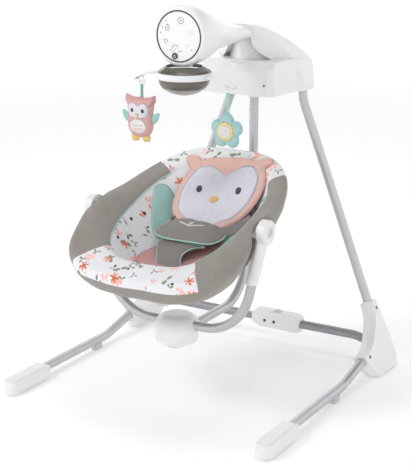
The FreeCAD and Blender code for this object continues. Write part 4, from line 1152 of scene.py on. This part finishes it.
def mobile():
    """The smoky cone, the white ring with its two leaves, the smoky band and the clear dome."""
    (_, _, base), (_, _, top) = node_box("mobile_socket")
    round_shell("smoky_cone", "mobile_socket",
                [(50, top - 0.2), (51, top - 0.6), (58, top - 6), (67, base + 2), (69.5, base),
                 (69, base + 0.4), (66, base + 3.4), (56, top - 4.6), (47, top - 1.6), (46.5, top - 0.4)],
                smoky, "housing")
    high = base - 0.5
    low = high - 18.0
    round_shell("mobile_ring_shell", "mobile_ring",
                [(40, high - 3.4), (40, high - 0.6), (67, high - 0.4), (70.4, high - 1.4), (72, high - 5),
                 (72, low + 6), (71, low + 2), (69.6, low + 0.2), (68.4, low + 1), (68, low + 6),
                 (68, high - 3.4)], white, "mobile")
    bottom = node_box("globe_dome")[0][2]
    lip = node_box("globe_band")[1][2]
    globe_r, wall, joint_angle = 66.5, 1.6, 58

    def bowl(first, last, steps, less):
        """The globe's wall between two angles from straight down, drawn in by less."""
        out = []
        for k in range(steps + 1):
            a = math.radians(first + (last - first) * k / steps)
            out.append((max((globe_r - less) * math.sin(a), 0.6), low - (low - bottom - less) * math.cos(a)))
        return out

    band = [(67.2, lip)] + bowl(90, joint_angle, 8, 0) + bowl(joint_angle, 90, 8, wall) + [(65.4, lip)]
    round_shell("smoky_band", "globe_band", band, smoky, "mobile")
    dome_angle = joint_angle - 0.4
    dome = bowl(dome_angle, 1, 14, 0) + bowl(1, dome_angle, 14, wall)
    round_shell("clear_dome_shell", "globe_dome", dome, clear, "mobile")
    leaf(1, "right", high - 7.0)
    leaf(-1, "left", high - 7.0)


reflector()
mobile()


# ---------------------------------------------------------------- control panel's icons

def icon(name, points, width, material, front, body="housing", closed=False):
    """A printed line: a flat strip, 0.35 mm proud of the panel's front."""
    pts = spline_points([(x, 0, z) for x, z in points], max(10, 4 * len(points)), closed)
    verts = []
    n = len(pts)
    for i, p in enumerate(pts):
        a = pts[(i - 1) % n] if closed or i else p
        b = pts[(i + 1) % n] if closed or i < n - 1 else p
        along = (b - a).normalized()
        side = Vector((-along.z, 0, along.x)) * width / 2
        for q, dy in ((p + side, 0.35), (p + side, -0.3), (p - side, -0.3), (p - side, 0.35)):
            verts.append((q.x, front + dy, q.z))
    faces = grid_faces(n, 4) if closed else capped_faces(n, 4)
    if closed:
        last = 4 * (n - 1)
        faces += [(last + k, last + (k + 1) % 4, (k + 1) % 4, k) for k in range(4)]
    attached(finished(name, verts, faces, [material], smooth=False), body)


def arc_points(cx, cz, r, first, last, count):
    """Points along an arc, between two angles in degrees."""
    out = []
    for k in range(count):
        t = math.radians(first + (last - first) * k / (count - 1))
        out.append((cx + r * math.cos(t), cz + r * math.sin(t)))
    return out


def icons():
    """The panel's marks: power, lights, mist, a lamp, clouds, waves and sound, and the button's arrow."""
    low, high = node_box("control_panel")
    z0 = (low[2] + high[2]) / 2

    def ink(name, points, width, material=icon_ink, closed=False):
        icon(name, [(x, z0 + dz) for x, dz in points], width, material, low[1], closed=closed)

    ink("power_ring", arc_points(6, 40, 8.0, 0, 345, 24), 1.3, closed=True)
    ink("power_mark", [(3, 38.5), (5, 41.5), (7, 38.5), (9, 41.5)], 1.1)
    lights_at = [(-53, 7), (-47, 21), (-37, 36), (38, -32), (-24, -35), (-17, -38), (1, -38), (8, -36)]
    for i, (x, dz) in enumerate(lights_at):
        ink("light_dot_%d" % (i + 1), arc_points(x, dz, 0.9, 0, 320, 9), 1.3, closed=True)
    ink("drop_icon", [(-33, 29), (-39, 19), (-37, 13.5), (-30, 13.5), (-27.5, 19)], 1.2, closed=True)
    ink("drop_line", [(-33, 24), (-33, 17)], 1.0)
    ink("bulb_icon", arc_points(-38, -13, 4.6, -60, 240, 16), 1.2)
    ink("bulb_foot", [(-40, -20), (-36, -20)], 1.3)
    ink("cloud_icon", [(-17, -31), (-18, -26), (-13, -23), (-8, -22), (-3, -25), (-3, -31)], 1.2)
    ink("cloud_drop", [(-10, -30), (-10, -34)], 1.1)
    for k in range(3):
        wave = [(30 + 3 * i, 16 - 4 * k + (1.2 if i % 2 else -1.2)) for i in range(6)]
        ink("wave_%d" % (k + 1), wave, 0.9, glyph_ink)
        ink("sound_arc_%d" % (k + 1), arc_points(20, -27, 4.0 + 3.4 * k, 10, 80, 9), 1.0, glyph_ink)
    b_low, b_high = node_box("control_button")
    bx, bz = (b_low[0] + b_high[0]) / 2, (b_low[2] + b_high[2]) / 2
    arrow = [(bx - 3, bz - 2.5), (bx, bz + 3), (bx + 3, bz - 2.5)]
    icon("button_glyph", arrow, 1.3, glyph_ink, b_low[1], "control_button", closed=True)


icons()


# ---------------------------------------------------------------- small details

def arm_plugs():
    """Two dark turned plugs on the left of the swing arm, under the collar."""
    y = joint_at("swing")[1]
    profile = [(3.0, 0.0), (3.6, 0.4), (3.4, 1.0), (2.4, 1.3), (0.4, 1.35)]
    outward = Vector((-1, 0, 0))
    u = outward.orthogonal().normalized()
    v = outward.cross(u)
    count = 40
    for i, z in enumerate((710.0, 675.0)):
        centre = Vector((-12.5, y, z))
        verts = []
        for r, d in profile:
            verts += [centre + outward * d + (u * math.cos(t) + v * math.sin(t)) * r for t in around(count)]
        plug = finished("arm_plug_%d" % (i + 1), verts, capped_faces(len(profile), count), [black])
        attached(plug, "swing_arm")


def recline_marks():
    """A small yellow and mint flag on each recline button."""
    _, y, z = hinge
    for sign, side in ((1, "right"), (-1, "left")):
        body = "recline_button_" + side
        low, high = node_box(body)
        x = (high[0] if sign > 0 else low[0]) + sign * 0.3
        for k, material in enumerate((mint_cord, yellow)):
            path = [(x, y - 7 + 5 * k, z - 7 + 1.5 * k), (x, y + 1 + 5 * k, z + 7)]
            mark = cord_mesh("recline_mark_%s_%d" % (side, k + 1), path, 1.0, material)
            attached(mark, body)


arm_plugs()
recline_marks()


# ---------------------------------------------------------------- floor, light and camera

def stage_piece(name, verts, faces, material_name, **sockets):
    """A piece of the studio, in metres, that glows a little."""
    mesh = bpy.data.meshes.new(name)
    mesh.from_pydata(verts, [], faces)
    piece = bpy.data.objects.new(name, mesh)
    bpy.context.collection.objects.link(piece)
    material, tree, bsdf = new_material(material_name)
    feed(tree, bsdf, Emission_Color=(1.0, 1.0, 1.0, 1.0), **sockets)
    mesh.materials.append(material)
    return tree, bsdf


def floor():
    """A wide pale floor, just under the swing."""
    half, z = 9.0, -0.0005
    corners = [(-half, -half, z), (half, -half, z), (half, half, z), (-half, half, z)]
    tree, bsdf = stage_piece("floor", corners, [(0, 1, 2, 3)], "pale_floor", Roughness=0.9,
                             Emission_Strength=0.16)
    feed(tree, bsdf, Base_Color=mixed(tree, noise_of(tree, 1.2), (0.95, 0.95, 0.95), (0.97, 0.97, 0.97)))


def backdrop():
    """A bright white wall all round, which also lights the swing softly from the sides."""
    radius, height, count = 6.5, 4.5, 96
    verts = [(radius * math.cos(t), radius * math.sin(t), z) for z in (0.0, height) for t in around(count)]
    stage_piece("backdrop", verts, grid_faces(2, count), "white_wall", Base_Color=(0.9, 0.9, 0.9, 1.0),
                Emission_Strength=0.55)


def area_light(name, place_at, target, size, power):
    """A round light that faces a target."""
    light = bpy.data.lights.new(name, "AREA")
    light.shape = "DISK"
    light.size = size
    light.energy = power
    piece = bpy.data.objects.new(name, light)
    piece.location = place_at
    piece.rotation_euler = (Vector(target) - Vector(place_at)).to_track_quat("-Z", "Y").to_euler()
    bpy.context.collection.objects.link(piece)


def lights():
    """Three soft lights and an even white world."""
    target = (0, -0.05, 0.5)
    area_light("key", (-1.7, -2.3, 2.9), target, 1.0, 33)
    area_light("back", (-1.2, 2.6, 2.6), target, 1.6, 10)
    area_light("top", (0.0, 0.3, 3.4), target, 1.8, 20)
    world = bpy.data.worlds.new("studio")
    world.use_nodes = True
    feed(world.node_tree, world.node_tree.nodes["Background"], Color=(1.0, 1.0, 1.0, 1.0), Strength=0.30)
    bpy.context.scene.world = world
    bpy.context.scene.view_settings.view_transform = "Standard"


def camera():
    """Above the right front of the swing, as a person stands and looks at it."""
    azimuth, elevation, distance = math.radians(31.07), math.radians(15.57), 3.4367
    target = Vector((0, -0.1, 0.45))
    back = Vector((math.sin(azimuth) * math.cos(elevation), -math.cos(azimuth) * math.cos(elevation),
                   math.sin(elevation)))
    data = bpy.data.cameras.new("camera")
    data.sensor_fit = "VERTICAL"
    data.sensor_height = 36.0
    data.lens = 99.55
    data.shift_x = 0.0387
    data.shift_y = -0.0160
    data.clip_end = 50.0
    piece = bpy.data.objects.new("camera", data)
    piece.location = target + back * distance
    piece.rotation_euler = (-back).to_track_quat("-Z", "Y").to_euler()
    bpy.context.collection.objects.link(piece)
    bpy.context.scene.camera = piece


floor()
backdrop()
lights()
camera()
